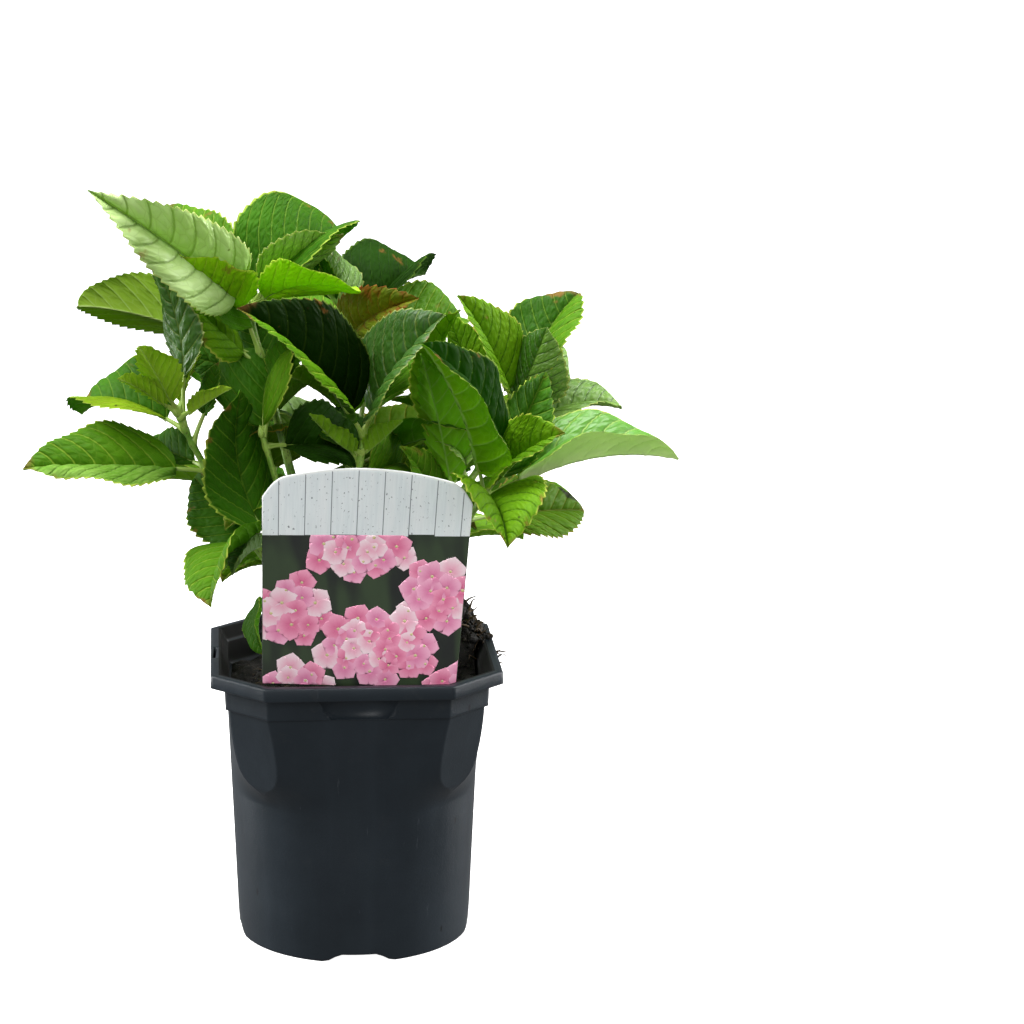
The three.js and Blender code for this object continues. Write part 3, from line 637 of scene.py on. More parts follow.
def blade(root, leaf, chance, settings):
    """A toothed, veined leaf blade as one wrapped grid, with its maps.

    The midrib is an arc that turns through the leaf's arch. At the share s along it and t across, a point
    lies h(s) t cos(fold) to the side, with a tooth's height at the margin, and rises as blade_rise says.
    The side veins arch forward to the margin. The lower skin runs back under the upper one, thinner at the
    margin, with the ribs standing out of it.
    """
    length, fold = leaf["length"], math.radians(leaf["fold"])
    scale = length / GROWN_LENGTH
    s, tooth = margin_steps(length, settings)
    columns = np.array(COLUMNS, float)
    line = np.concatenate([-columns[::-1], columns[1:]])
    middle, normal = midrib(root, leaf, s)
    side = leaf_axes(leaf)[1]
    twist = (math.radians(chance.uniform(-TWIST, TWIST)) * (s - TWIST_FROM))[:, None]
    over = np.cos(twist) * normal - np.sin(twist) * side
    out = np.cos(twist) * side + np.sin(twist) * normal
    half = np.maximum(LEAF_TIP_HALF, leaf["width"] / 2 * leaf_outline(s, leaf["sharp"]))[:, None]
    s, t, a = s[:, None], line[None, :], np.abs(line)[None, :]
    x = half * t
    sweep = half * (VEIN_SWEEP[0] * a + VEIN_SWEEP[1] * a * a)
    veins = (s * length - sweep) / (settings.vein_pitch / MM * scale) + 0.5 * (t > 0) + VEINS_BEFORE
    up = blade_rise(s, t, half, veins, scale, fold, chance, settings)
    ends = np.clip(4 * s, 0, 1) * np.clip(7 * (1 - s), 0, 1)
    bite = settings.tooth_depth / MM * (tooth[:, None] - TOOTH_MIDDLE) * a ** 10 * ends * np.sign(t)
    thick = (settings.thickness / MM + SKIN_SHARE * length) * (1 - a ** 12)
    rib = settings.rib / MM * (RIB_FROM - s) * np.exp(-(x / RIB_HALF) ** 2)
    side_rib = SIDE_RIB["height"] * np.exp(-(np.sin(math.pi * veins) / SIDE_RIB["half"]) ** 2)
    rib = (rib + side_rib) * (1 - a ** 8)
    place = middle[:, None] + ((x + bite) * math.cos(fold))[..., None] * out[:, None]
    upper = place + up[..., None] * over[:, None]
    lower = place + (up - thick - rib)[..., None] * over[:, None]
    points = np.concatenate([upper, lower[:, -2:0:-1]], 1)

    def and_back(values):
        return np.concatenate([values, values[..., -2::-1]], -1)

    ring = and_back(line)
    underside = np.arange(len(ring)) > len(line) - 1
    breadth = and_back(x) / VEIN_BREADTH / scale
    maps = {
        "blade": grid_map(ring, s[:, 0]),
        "veins": np.stack([and_back(veins), breadth], -1),
        "trait": np.broadcast_to(chance.uniform(0, 1, 2), breadth.shape + (2,)),
    }
    unroll = np.where(underside, 0.5 + (1 - ring) / 4, (ring + 1) / 4)
    return points, maps, unroll, underside[1:].astype(float)


def dice(seed):
    """Seeded numbers from 0 to 1: the fraction of 43758.5453 sin(12.9898 k + 78.233 seed), k counting up."""
    k = seed
    while True:
        k += 1
        value = math.sin(k * 12.9898 + seed * 78.233) * 43758.5453
        yield value - math.floor(value)


def pairs(seed, count, start, heading, length):
    """Opposite pairs of leaves up a shoot as rows, smaller and steeper towards its tip, each pair turned a
    quarter from the last one."""
    numbers = dice(seed)

    def scatter(whole):
        return whole * (next(numbers) - 0.5)

    rows = []
    for k in range(count):
        share = k / (count - 1)
        for turn in (0, 180):
            size = length * (1 - PAIR_SHRINK * share) * (PAIR_SIZE[0] + PAIR_SIZE[1] * next(numbers))
            rows.append((
                start + (PAIR_LAST - start) * share,
                heading + 90 * k + turn + scatter(PAIR_SCATTER),
                PAIR_RISE[0] + PAIR_RISE[1] * share + scatter(PAIR_RISE[2]),
                size,
                size * (PAIR_WIDTH[0] + PAIR_WIDTH[1] * next(numbers)),
                scatter(PAIR_SCATTER),
                PAIR_FOLD[0] + PAIR_FOLD[1] * next(numbers),
                PAIR_ARCH[0] + PAIR_ARCH[1] * next(numbers),
                size * PAIR_STALK,
                PAIR_LOOKS[(seed + len(rows)) % len(PAIR_LOOKS)],
            ))
    return rows


def round_maps(columns, path):
    """The grain map of a tube: once round it, and the way along it in metres."""
    steps = np.linalg.norm(np.diff(path, axis=0), axis=1)
    return {"grain": grid_map(np.linspace(0, 1, columns + 1), np.append(0, np.cumsum(steps)) * MM)}


def add_stalk(piece, root, leaf, settings):
    """A leaf stalk: a clasping base on the stem, then a channelled taper that runs on under the midrib."""
    lap = np.linspace(*STALK_LAP["shares"], STALK_LAP["steps"])
    under, up = midrib(root, leaf, lap)
    under = under - up * (0.75 + 0.3 * (1 - lap[:, None]))
    t = np.linspace(0, 1, settings.stalk_steps)
    face = leaf_axes(leaf)[2]
    bow = STALK_BOW * leaf["stalk"] * np.sin(math.pi * t)[:, None] * face
    end = stalk_end(root, leaf) - face * STALK_SINK
    path = np.concatenate([root + (end - root) * t[:, None] + bow, under])
    radius = STALK_RADIUS * (1 + (STALK_TAPER - 1) * t)
    radius = radius + CLASP["height"] * swell(t, 0, leaf["stalk"], CLASP["length"])
    radius = np.append(radius, np.linspace(*STALK_LAP["radii"], len(lap)))

    def channel(angle, step):
        return 0.05 * np.cos(3 * angle + 1) - STALK_CHANNEL * np.cos(angle) ** 8

    sides = settings.stalk_sides
    points = tube(path, radius, sides, np.cross(face, path[-1] - path[0]), channel)
    piece.add(points, round_maps(sides, path), finish=1)


def add_bud(piece, tip, direction, size, turn):
    """A shoot's end: two bud scales pressed together, each a narrow pointed spindle."""
    side = unit(np.cross(direction, [math.cos(turn), math.sin(turn), 0.2]))
    s = np.linspace(0, 1, BUD["steps"])
    for way in (-1, 1):
        lean = side * way * size * BUD["lean"]
        path = tip + direction * (size * s)[:, None] + lean * np.sin(math.pi * s)[:, None]
        radius = size * BUD["girth"] * np.sin(math.pi * (0.12 + 0.88 * s ** 0.8)) + BUD["point"]
        piece.add(tube(path, radius, BUD["sides"], side), round_maps(BUD["sides"], path), finish=1)


def add_shoot(piece, shoot, leaves, number, settings):
    """The green stem, swollen where leaves stand and faintly ridged, then its leaf stalks and end bud."""
    t = np.linspace(0, 1, settings.stem_steps)
    path = curve_point(shoot["stem"], t)
    length = np.linalg.norm(np.diff(path, axis=0), axis=1).sum()
    radius = stem_radius(t)
    for place in sorted({leaf["place"] for leaf in leaves}):
        radius = radius + settings.swelling / MM * swell(t, place, length, SWELLING_WIDTH)
    lowest = min(leaf["place"] for leaf in leaves)
    for place in np.arange(SCARS["first"], lowest - SCARS["clear"], SCARS["step"]):
        radius = radius + SCARS["height"] * swell(t, place, length, SCARS["width"])
    last = np.clip((t - STEM_END["from"]) / (1 - STEM_END["from"]), 0, 1)
    radius = radius * (1 - STEM_END["taper"] * last)
    sides = settings.stem_sides

    def ridges(angle, step):
        fine = np.cos(7 * angle + 0.3 * np.sin(0.4 * step))
        return STEM_RIDGES[0] * np.cos(3 * angle + 0.05 * step) + STEM_RIDGES[1] * fine

    points = tube(path, radius, sides, relief=ridges)
    maps = round_maps(sides, path)
    age = np.broadcast_to(np.clip(WOODY["root"] - WOODY["slope"] * t, 0, 1)[:, None], (len(t), sides + 1))
    maps["age"] = np.stack([age, 0 * age], -1)
    piece.add(points, maps)
    direction = unit(path[-1] - path[-3])
    add_bud(piece, path[-1] - direction * BUD_SINK, direction, BUD_LENGTH, number)
    for leaf in leaves:
        add_stalk(piece, curve_point(shoot["stem"], leaf["place"]), leaf, settings)


# Foot

def foot_surface(settings):
    """The woody foot: its profile turned round a leaning axis, flared in four lobes at the soil, with
    cracked bark: ridges that wander round it, and uneven lumps."""
    height = np.linspace(0, FOOT_PROFILE[-1][1], FOOT_ROWS)
    radius = np.interp(height, [h for _, h in FOOT_PROFILE], [r for r, _ in FOOT_PROFILE])
    radius = np.convolve(np.pad(radius, 4, "edge"), np.full(9, 1 / 9), "valid")
    a = np.linspace(0, 2 * math.pi, FOOT_COLUMNS, endpoint=False)[None, :]
    h = height[:, None]
    lobes = FOOT_FLARE["size"] * np.cos(FOOT_FLARE["lobes"] * a + 0.6)
    reach = radius[:, None] * (1 + lobes * np.clip(1 - h / FOOT_FLARE["height"], 0, 1))
    x, y = np.cos(a) * 8 + 0 * h, np.sin(a) * 8 + 0 * h
    wander = 0.7 * np.sin(h * 0.21 + 2 * a) + 0.5 * ripple(x, y, h, 3, 14)
    ridge = np.abs(np.sin(FOOT_RIDGES * (a + 0.12 * wander))) ** 0.6
    bark = settings.bark_depth / MM
    reach = reach + bark * (ridge - 0.6 + 0.5 * ripple(x, y, h * 0.6, 8, 4)) + 0.4 * ripple(x, y, h, 5, 9)
    middle_x = FOOT[0] - h * FOOT_LEAN
    points = np.stack([middle_x + reach * np.cos(a), FOOT[1] + reach * np.sin(a), SOIL_LEVEL + h + 0 * a], -1)
    points[0, :, 2] -= FOOT_FLARE["sunk"]
    return points, {"grain": grid_map(np.linspace(0, 1, FOOT_COLUMNS + 1), height * MM)}


# Pot

SIDE_SHARES = np.concatenate([[-1, -0.988, -0.97], np.linspace(-0.93, 0.93, 26), [0.97, 0.988, 1]])
FACET_SHARES = np.array([0.05, 0.12, 0.5, 0.88, 0.95])
FLOOR_TOP = FLOOR_LIFT + POT_WALL
BAND_INNER = BAND_HALF - POT_WALL

# Rows of the pot's skin. Body rows have a height and how far they lie in from the outer face; collar rows
# have their half width, how much the corner flats take off it, and their height.
STANDING = ((FLOOR_LIFT, STANDING_WIDTH), (FLOOR_LIFT - 0.6, STANDING_WIDTH), (2.5, STANDING_WIDTH),
            (0.7, STANDING_WIDTH))
EDGE = ((0.15, STANDING_WIDTH - 0.25), (0, STANDING_WIDTH - 0.8), (0, 0.8), (0.15, 0.2))
OUTER_HEIGHTS = (0.7, 2, 4, 6, 9, 13, 20, 30, 40, 50, 60, 68, 74, 78, 80, 81, 82.5, 84, 86, 88, 90.5, 93, 96,
                 100, 105, 111, 118, 125, 129, 131.5, 132.6, BODY_TOP)
COLLAR = (
    (BAND_HALF - 0.1, BAND_CUT, 133.15),
    (BAND_HALF, BAND_CUT, 133.8),
    (BAND_HALF, BAND_CUT, 135),
    (BAND_HALF + 0.2, BAND_CUT, 140),
    (BAND_HALF + 0.3, BAND_CUT, 144.2),
    (BAND_HALF + 0.5, BAND_CUT, RIM_UNDER),
    (BAND_HALF + 1.4, BAND_CUT + 0.5, RIM_UNDER),
    (RIM_HALF - 0.9, RIM_CUT, RIM_UNDER),
    (RIM_HALF - 0.15, RIM_CUT, RIM_UNDER + 0.15),
    (RIM_HALF, RIM_CUT, RIM_UNDER + 0.8),
    (RIM_HALF, RIM_CUT, POT_HEIGHT - 1),
    (RIM_HALF - 0.3, RIM_CUT - 0.2, POT_HEIGHT - 0.3),
    (RIM_HALF - 1, RIM_CUT - 0.6, POT_HEIGHT),
    (RIM_HALF - 2, RIM_CUT - 1.2, POT_HEIGHT),
)
RIM_INNER = RIM_HALF - RIM_WIDTH
COLLAR_INSIDE = (
    (RIM_INNER + 0.9, RIM_CUT - 3, POT_HEIGHT),
    (RIM_INNER + 0.3, RIM_CUT - 3.3, POT_HEIGHT - 0.3),
    (RIM_INNER, RIM_CUT - 3.4, POT_HEIGHT - 1),
    (RIM_INNER - 0.4, RIM_CUT - 3.8, POT_HEIGHT - 2.5),
    (BAND_INNER + 0.4, BAND_CUT - 0.8, RIM_UNDER),
    (BAND_INNER, BAND_CUT - 1, RIM_UNDER - 1),
    (BAND_INNER, BAND_CUT - 1, 136),
    (BAND_INNER - 0.2, BAND_CUT - 1, 134),
)
INNER_HEIGHTS = (132.5, 130, 120, 110, 100, 90, 80, 60, 40, 20, FLOOR_TOP + 1)
PAD_ROWS = ((1, 0), (7, 0), (13.3, 0), (PAD_RADIUS, 0.2), (PAD_RADIUS, 1), (PAD_RADIUS, 4.2),
            (PAD_RADIUS + 0.1, FLOOR_LIFT), (PAD_RADIUS + 1, FLOOR_LIFT), (25, FLOOR_LIFT), (40, FLOOR_LIFT),
            (52, FLOOR_LIFT))
FLOOR_RADII = (54, 40, 25, 8, 1)
NOTCH_GONE = 12.0


def pot_rings(rows):
    """Rings of the pot from rows of half width, distance of the corner flats, roundness and height.

    A side at the share u is (half, half u) when straight and half (cos, sin)(u pi / 4) when round; it
    ends where (x + y) / sqrt 2 reaches the corner flat, which joins it to the next side.
    """
    half, cut_at, rounded, z = (np.array(rows, float)[:, k:k + 1] for k in range(4))

    def side(u):
        x = half + (half * np.cos(u * math.pi / 4) - half) * rounded
        y = half * u + (half * np.sin(u * math.pi / 4) - half * u) * rounded
        return x, y

    low, high = np.full_like(half, 0.3), np.full_like(half, 0.985)
    for _ in range(30):
        middle = (low + high) / 2
        x, y = side(middle)
        beyond = (x + y) / math.sqrt(2) > cut_at
        low, high = np.where(beyond, low, middle), np.where(beyond, middle, high)
    x, y = side(SIDE_SHARES[None, :] * low)
    flat = (y[:, -1:] - x[:, -1:]) * FACET_SHARES
    x, y = np.concatenate([x, x[:, -1:] + flat], 1), np.concatenate([y, y[:, -1:] - flat], 1)
    sides = [turned(x, y, POT_YAW + k * math.pi / 2) for k in range(4)]
    ring_x, ring_y = (np.concatenate(part, 1) for part in zip(*sides))
    return np.stack([ring_x, ring_y, np.broadcast_to(z, ring_x.shape)], -1)


def body_row(z, inset):
    """A row of the tapering body: its roundness grows as the square of the way down, then eases to full."""
    share = min(1, max(0, (BODY_TOP - z) / (BODY_TOP - FACET_BOTTOM)))
    half = BASE_RADIUS + (BODY_HALF - BASE_RADIUS) * z / BODY_TOP - inset
    late = max(0, share - BLEND_FROM) / (1 - BLEND_FROM)
    grown = min(share, BLEND_FROM) ** 2 + (1 - BLEND_FROM ** 2) * late * late * (3 - 2 * late)
    grown += 2 * BLEND_FROM * (1 - BLEND_FROM) * late * (1 - late) ** 2
    rounded = BODY_BULGE + (1 - BODY_BULGE) * grown
    return half, FACET_AT_TOP + (FACET_AT_BOTTOM - FACET_AT_TOP) * share - inset, rounded, z


def collar_row(half, cut, z):
    """A row of the band or rim: straight sides with its corners cut off."""
    return half, (2 * half - cut) / math.sqrt(2), 0.0, z


def pot_surface():
    """The pot as one skin: pad, recessed floor, standing edge, body, band and rim, then down the inside.
    Near the standing edge four notches lift it: their height falls off with the way along each side."""
    standing = [body_row(*row) for row in STANDING]
    outside = [body_row(*row) for row in EDGE] + [body_row(z, 0) for z in OUTER_HEIGHTS]
    outside += [collar_row(*row) for row in COLLAR]
    inside = [collar_row(*row) for row in COLLAR_INSIDE] + [body_row(z, POT_WALL) for z in INNER_HEIGHTS]
    inside.append(body_row(FLOOR_TOP, POT_WALL + 0.8))
    walls = pot_rings(standing + outside + inside)
    other, along = turned(walls[..., 0], walls[..., 1], -POT_YAW)
    across = np.minimum(np.abs(along), np.abs(other))
    notch = np.clip((NOTCH_HALF - across) / NOTCH_TAPER, 0, 1) * NOTCH_HEIGHT
    raised = notch + walls[..., 2] * (NOTCH_GONE - notch) / NOTCH_GONE
    steps = np.arange(len(walls))[:, None]
    lifted = (walls[..., 2] < NOTCH_GONE) & (steps > 0) & (steps < len(walls) - len(inside))
    walls[..., 2] = np.where(lifted, raised, walls[..., 2])
    round_way = unit(walls[len(standing), :, :2])

    def circle(radius, z):
        return np.concatenate([round_way * radius, np.full((len(round_way), 1), z)], 1)

    pad = [circle(*row) for row in PAD_ROWS]
    floor = [circle(radius, FLOOR_TOP) for radius in FLOOR_RADII]
    return np.concatenate([np.array(pad), walls, np.array(floor)])


def prism_points(outline, bottom, top):
    """A straight prism between two heights over an outline, as a skin of two rings."""
    return np.stack([np.column_stack([outline, np.full(len(outline), z)]) for z in (bottom, top)])


def pot_cutters():
    """What is cut out of the pot: four drain holes, the slot in the rim and the label's shallow pocket."""
    a = np.linspace(0, 2 * math.pi, 32, endpoint=False)
    parts = []
    for k in range(DRAIN["count"]):
        x, y = turned(DRAIN["ring"], 0, math.pi / 4 + k * 2 * math.pi / DRAIN["count"] + POT_YAW)
        ring = np.column_stack([x + DRAIN["radius"] * np.cos(a), y + DRAIN["radius"] * np.sin(a)])
        parts.append(prism_points(ring, DRAIN["from"], DRAIN["to"]))
    reach, end = SLOT["across"] / 2, SLOT["along"] / 2 - SLOT["across"] / 2
    a = a + 0.01
    y = SLOT["y"] + np.sign(np.sin(a)) * end + reach * np.sin(a)
    lane = np.column_stack([SLOT["x"] + reach * np.cos(a), y])
    parts.append(prism_points(lane, POT_HEIGHT - SLOT["below"], POT_HEIGHT + SLOT["above"]))
    top, wide, narrow = RIM_UNDER - POCKET["clear"], POCKET["wide"], POCKET["narrow"]
    x = np.array([-wide, -narrow, narrow, wide])
    z = top - POCKET["drop"] * np.array([0, 1, 1, 0])
    rings = [np.stack([*turned(x, y), z], -1) for y in (-BAND_HALF - 4, -BAND_HALF + POCKET["depth"])]
    return parts + [np.stack(rings)]


# Soil

def soil_top(x, y):
    """Height of the soil: a level, two waves that fade near the foot, and one bell-shaped heap."""
    heap = HEAP["height"] * np.exp(-((x - HEAP["x"]) ** 2 + (y - HEAP["y"]) ** 2) / (2 * HEAP["spread"] ** 2))
    away = np.minimum(1, np.hypot(x - FOOT[0], y - FOOT[1]) / FOOT_CLEARING)
    broad = SOIL_LUMPS[0] * np.sin(x * 0.21 + 1.3) * np.cos(y * 0.17)
    small = SOIL_LUMPS[1] * np.sin(x * 0.43 - y * 0.37)
    return SOIL_LEVEL + away ** 3 * (broad + small) + heap


def soil_surface(settings):
    """The root ball: the pot's inside shape, closed above by the soil's top with finer crumbling on it."""
    inset, floor = POT_WALL + SEAT, FLOOR_TOP + SEAT
    sides = pot_rings([body_row(z, inset) for z in (floor, floor + 2, *SOIL_HEIGHTS)])
    edge = pot_rings([body_row(SOIL_LEVEL, inset)])[0, :, :2]
    shares = np.linspace(1, 0.01, settings.rings) ** 0.8
    x, y = edge[None, :, 0] * shares[:, None], edge[None, :, 1] * shares[:, None]
    lumps = ripple(x, y, 0 * x, 21, 11) * 0.9 + ripple(x, y, 0 * x, 22, 4.5) * 0.6
    z = soil_top(x, y) + lumps * settings.relief / MM * np.minimum(1, shares * 6)[:, None]
    top = np.stack([x, y, z], -1)
    return np.concatenate([sides, top])


def crumb(place, size, chance, rows=5, columns=7):
    """A lump of peat: a ball squashed and dented at random, its rings a half turn from pole to pole."""
    latitude = np.linspace(CRUMB["pole"], math.pi - CRUMB["pole"], rows)[:, None]
    turn = np.linspace(0, 2 * math.pi, columns, endpoint=False)[None, :]
    dents = 1 + CRUMB["dents"] * chance.uniform(-1, 1, (rows, columns))
    ball = np.stack(np.broadcast_arrays(
        np.sin(latitude) * np.cos(turn), np.sin(latitude) * np.sin(turn), np.cos(latitude)), -1)
    stretch = chance.uniform(*CRUMB["stretch"], 3)
    return place + ball * dents[..., None] * stretch * size


def strand(start, heading, rise, length, radius, sag, wobble, chance):
    """A root or straw: a path that starts at its heading and rise, sags as the square of its way, and
    wobbles; its radius tapers to a point."""
    t = np.linspace(0, 1, STRAND["steps"])
    out = np.array([math.cos(heading) * math.cos(rise), math.sin(heading) * math.cos(rise), math.sin(rise)])
    path = start + out * (length * t)[:, None] - np.array([0, 0, sag]) * (t ** 2)[:, None]
    for axis in range(3):
        path[:, axis] += wobble * np.sin(t * chance.uniform(3, 9) + chance.uniform(0, 6)) * t
    points = tube(path, radius * (1 - STRAND["taper"] * t), STRAND["sides"])
    return points, round_maps(STRAND["sides"], path)


# Label

def label_place(x, height, out):
    """Points on the label: x across, height over the ground and out of its front, leant and turned."""
    cos, sin = math.cos(LABEL_LEAN), math.sin(LABEL_LEAN)
    up = height - POT_HEIGHT
    level_x = x * cos + up * sin + LABEL["x"]
    return np.stack([*turned(level_x, LABEL["y"] - out), up * cos - x * sin + POT_HEIGHT], -1)


def card_top(u):
    """The card's height at the share u from its middle: shoulder + rise (1 - u^2), drawn down at the two
    corners by the square of the way past their beginning."""
    near = np.clip(np.abs(u) - LABEL_CORNER["from"], 0, 1) / (1 - LABEL_CORNER["from"])
    straight = LABEL["shoulder"] - LABEL["bottom"] + LABEL["rise"] * (1 - u * u)
    return straight - LABEL_CORNER["drop"] * near ** 2


def card_point(u, v, out):
    """A point of the card at the share u from its middle to its side and v from its foot to its top."""
    x = u * (LABEL_HALF_BOTTOM + (LABEL_HALF_TOP - LABEL_HALF_BOTTOM) * v)
    return label_place(x, LABEL["bottom"] + card_top(u) * v, out)


def card_surface():
    """The card: front rising and back falling round each station from its left to its right side."""
    u = np.concatenate([[-1, -0.996], np.linspace(-0.985, 0.985, 57), [0.996, 1]])[:, None]
    v = np.concatenate([[0, 0.004], np.linspace(0.02, 0.98, 30), [0.996, 1]])
    round_v = np.concatenate([v, v[::-1]])
    slim = np.ones(len(v))
    slim[[0, -1]] = CARD_EDGE
    thick = LABEL["thickness"] / 2 * np.concatenate([slim, -slim])
    points = card_point(u, round_v[None, :], thick[None, :] * np.where(np.abs(u) > 0.999, CARD_EDGE, 1.0))
    closed = np.append(round_v, round_v[0])
    heights = card_top(u) * closed[None, :] / card_top(0.0)
    maps = {
        "face": np.stack(np.broadcast_arrays(u, closed[None, :]), -1),
        "level": np.stack([heights, 0 * heights], -1),
    }
    unroll = np.append(np.concatenate([v * 0.5, 1 - v[::-1] * 0.5]), 1.0)
    return points, maps, unroll, np.repeat([0.0, 1.0], len(v))


def stake_surface():
    """The label's stake: a flat bar under the card, narrowing to a blunt point in the soil."""
    down = np.array([-0.2, 8, 20, STAKE["depth"] - STAKE["point"], STAKE["depth"]])[:, None]
    half = np.append(np.full(4, STAKE["half"]), STAKE["tip_half"])[:, None]
    across = np.array([-1, -0.97, 0.97, 1, 1, 0.97, -0.97, -1])
    out = np.array([CARD_EDGE, 1, 1, CARD_EDGE, -CARD_EDGE, -1, -1, -CARD_EDGE]) * LABEL["thickness"] / 2
    return label_place(half * across, LABEL["bottom"] - down + 0 * across, out + 0 * down)


def petal_surface(middle, turn, length, width, lift, dish):
    """A printed petal, barely raised: along it length r, across it half(r) t, where half is
    width / 2 sin(pi r^1.3)^0.5, cut off at the picture's edge. The rows lie closer towards its end."""
    r = np.sin(np.linspace(0, math.pi / 2, 9))[:, None]
    t = np.concatenate([np.linspace(-1, 1, 7), np.linspace(0.6, -0.6, 4)])[None, :]
    half = width / 2 * np.sin(math.pi * np.clip(r, 0.01, 0.99) ** 1.3) ** 0.5
    ahead, side = length * r * (1 - 0.12 * t * t), half * t
    u = middle[0] + (ahead * math.cos(turn) - side * math.sin(turn)) / LABEL_HALF_BOTTOM
    v = middle[1] + (ahead * math.sin(turn) + side * math.cos(turn)) / card_top(0.0)
    top = np.concatenate([np.ones(7), np.zeros(4)])[None, :]
    rise = lift + top * dish * (1 - t * t) * np.sin(math.pi * r) - (1 - top) * 0.02
    u = np.clip(u, -PICTURE_SIDE, PICTURE_SIDE)
    highest = BOARDS_FROM + BOARDS_TILT * u + PICTURE_HEAD
    v = np.clip(v, PICTURE_FOOT, highest) * card_top(0.0) / card_top(u)
    points = card_point(u, v, LABEL["thickness"] / 2 + rise)
    across = np.append(t[0], t[0, 0])
    return points, {"petal": grid_map(across, r[:, 0])}


# Materials

def linear(hex_code):
    """The linear red, green and blue of an sRGB colour written as six hex digits."""
    parts = [int(hex_code[k:k + 2], 16) / 255 for k in (0, 2, 4)]
    return tuple(v / 12.92 if v <= 0.04045 else ((v + 0.055) / 1.055) ** 2.4 for v in parts)


def blend(a, b, share):
    """Colour a with the share of b in it."""
    return tuple((1 - share) * v + share * w for v, w in zip(a, b))


def operator(kind, swapped=False):
    """A Python operator on numbers in sockets that adds a Math node of this kind."""
    def apply(self, *other):
        values = (self, *other)
        return self.shop.math(kind, *(reversed(values) if swapped else values))
    return apply


class Number:
    """A socket that carries a number; Python's operators on it add Math nodes."""

    __add__ = __radd__ = operator("ADD")
    __mul__ = __rmul__ = operator("MULTIPLY")
    __sub__ = operator("SUBTRACT")
    __rsub__ = operator("SUBTRACT", swapped=True)
    __pow__ = operator("POWER")
    __abs__ = operator("ABSOLUTE")
    fraction = operator("FRACT")
    most = operator("MAXIMUM")

    def __init__(self, shop, socket):
        self.shop = shop
        self.socket = socket

    def step(self, low, high):
        """0 below low, 1 above high, smooth between; with low above high it falls instead."""
        ends = (low, high, 0.0, 1.0) if low <= high else (high, low, 1.0, 0.0)
        inputs = dict(zip(("From Min", "From Max", "To Min", "To Max"), ends), Value=self)
        settings = {"interpolation_type": "SMOOTHSTEP"}
        return Number(self.shop, self.shop.node("ShaderNodeMapRange", settings, inputs).outputs["Result"])


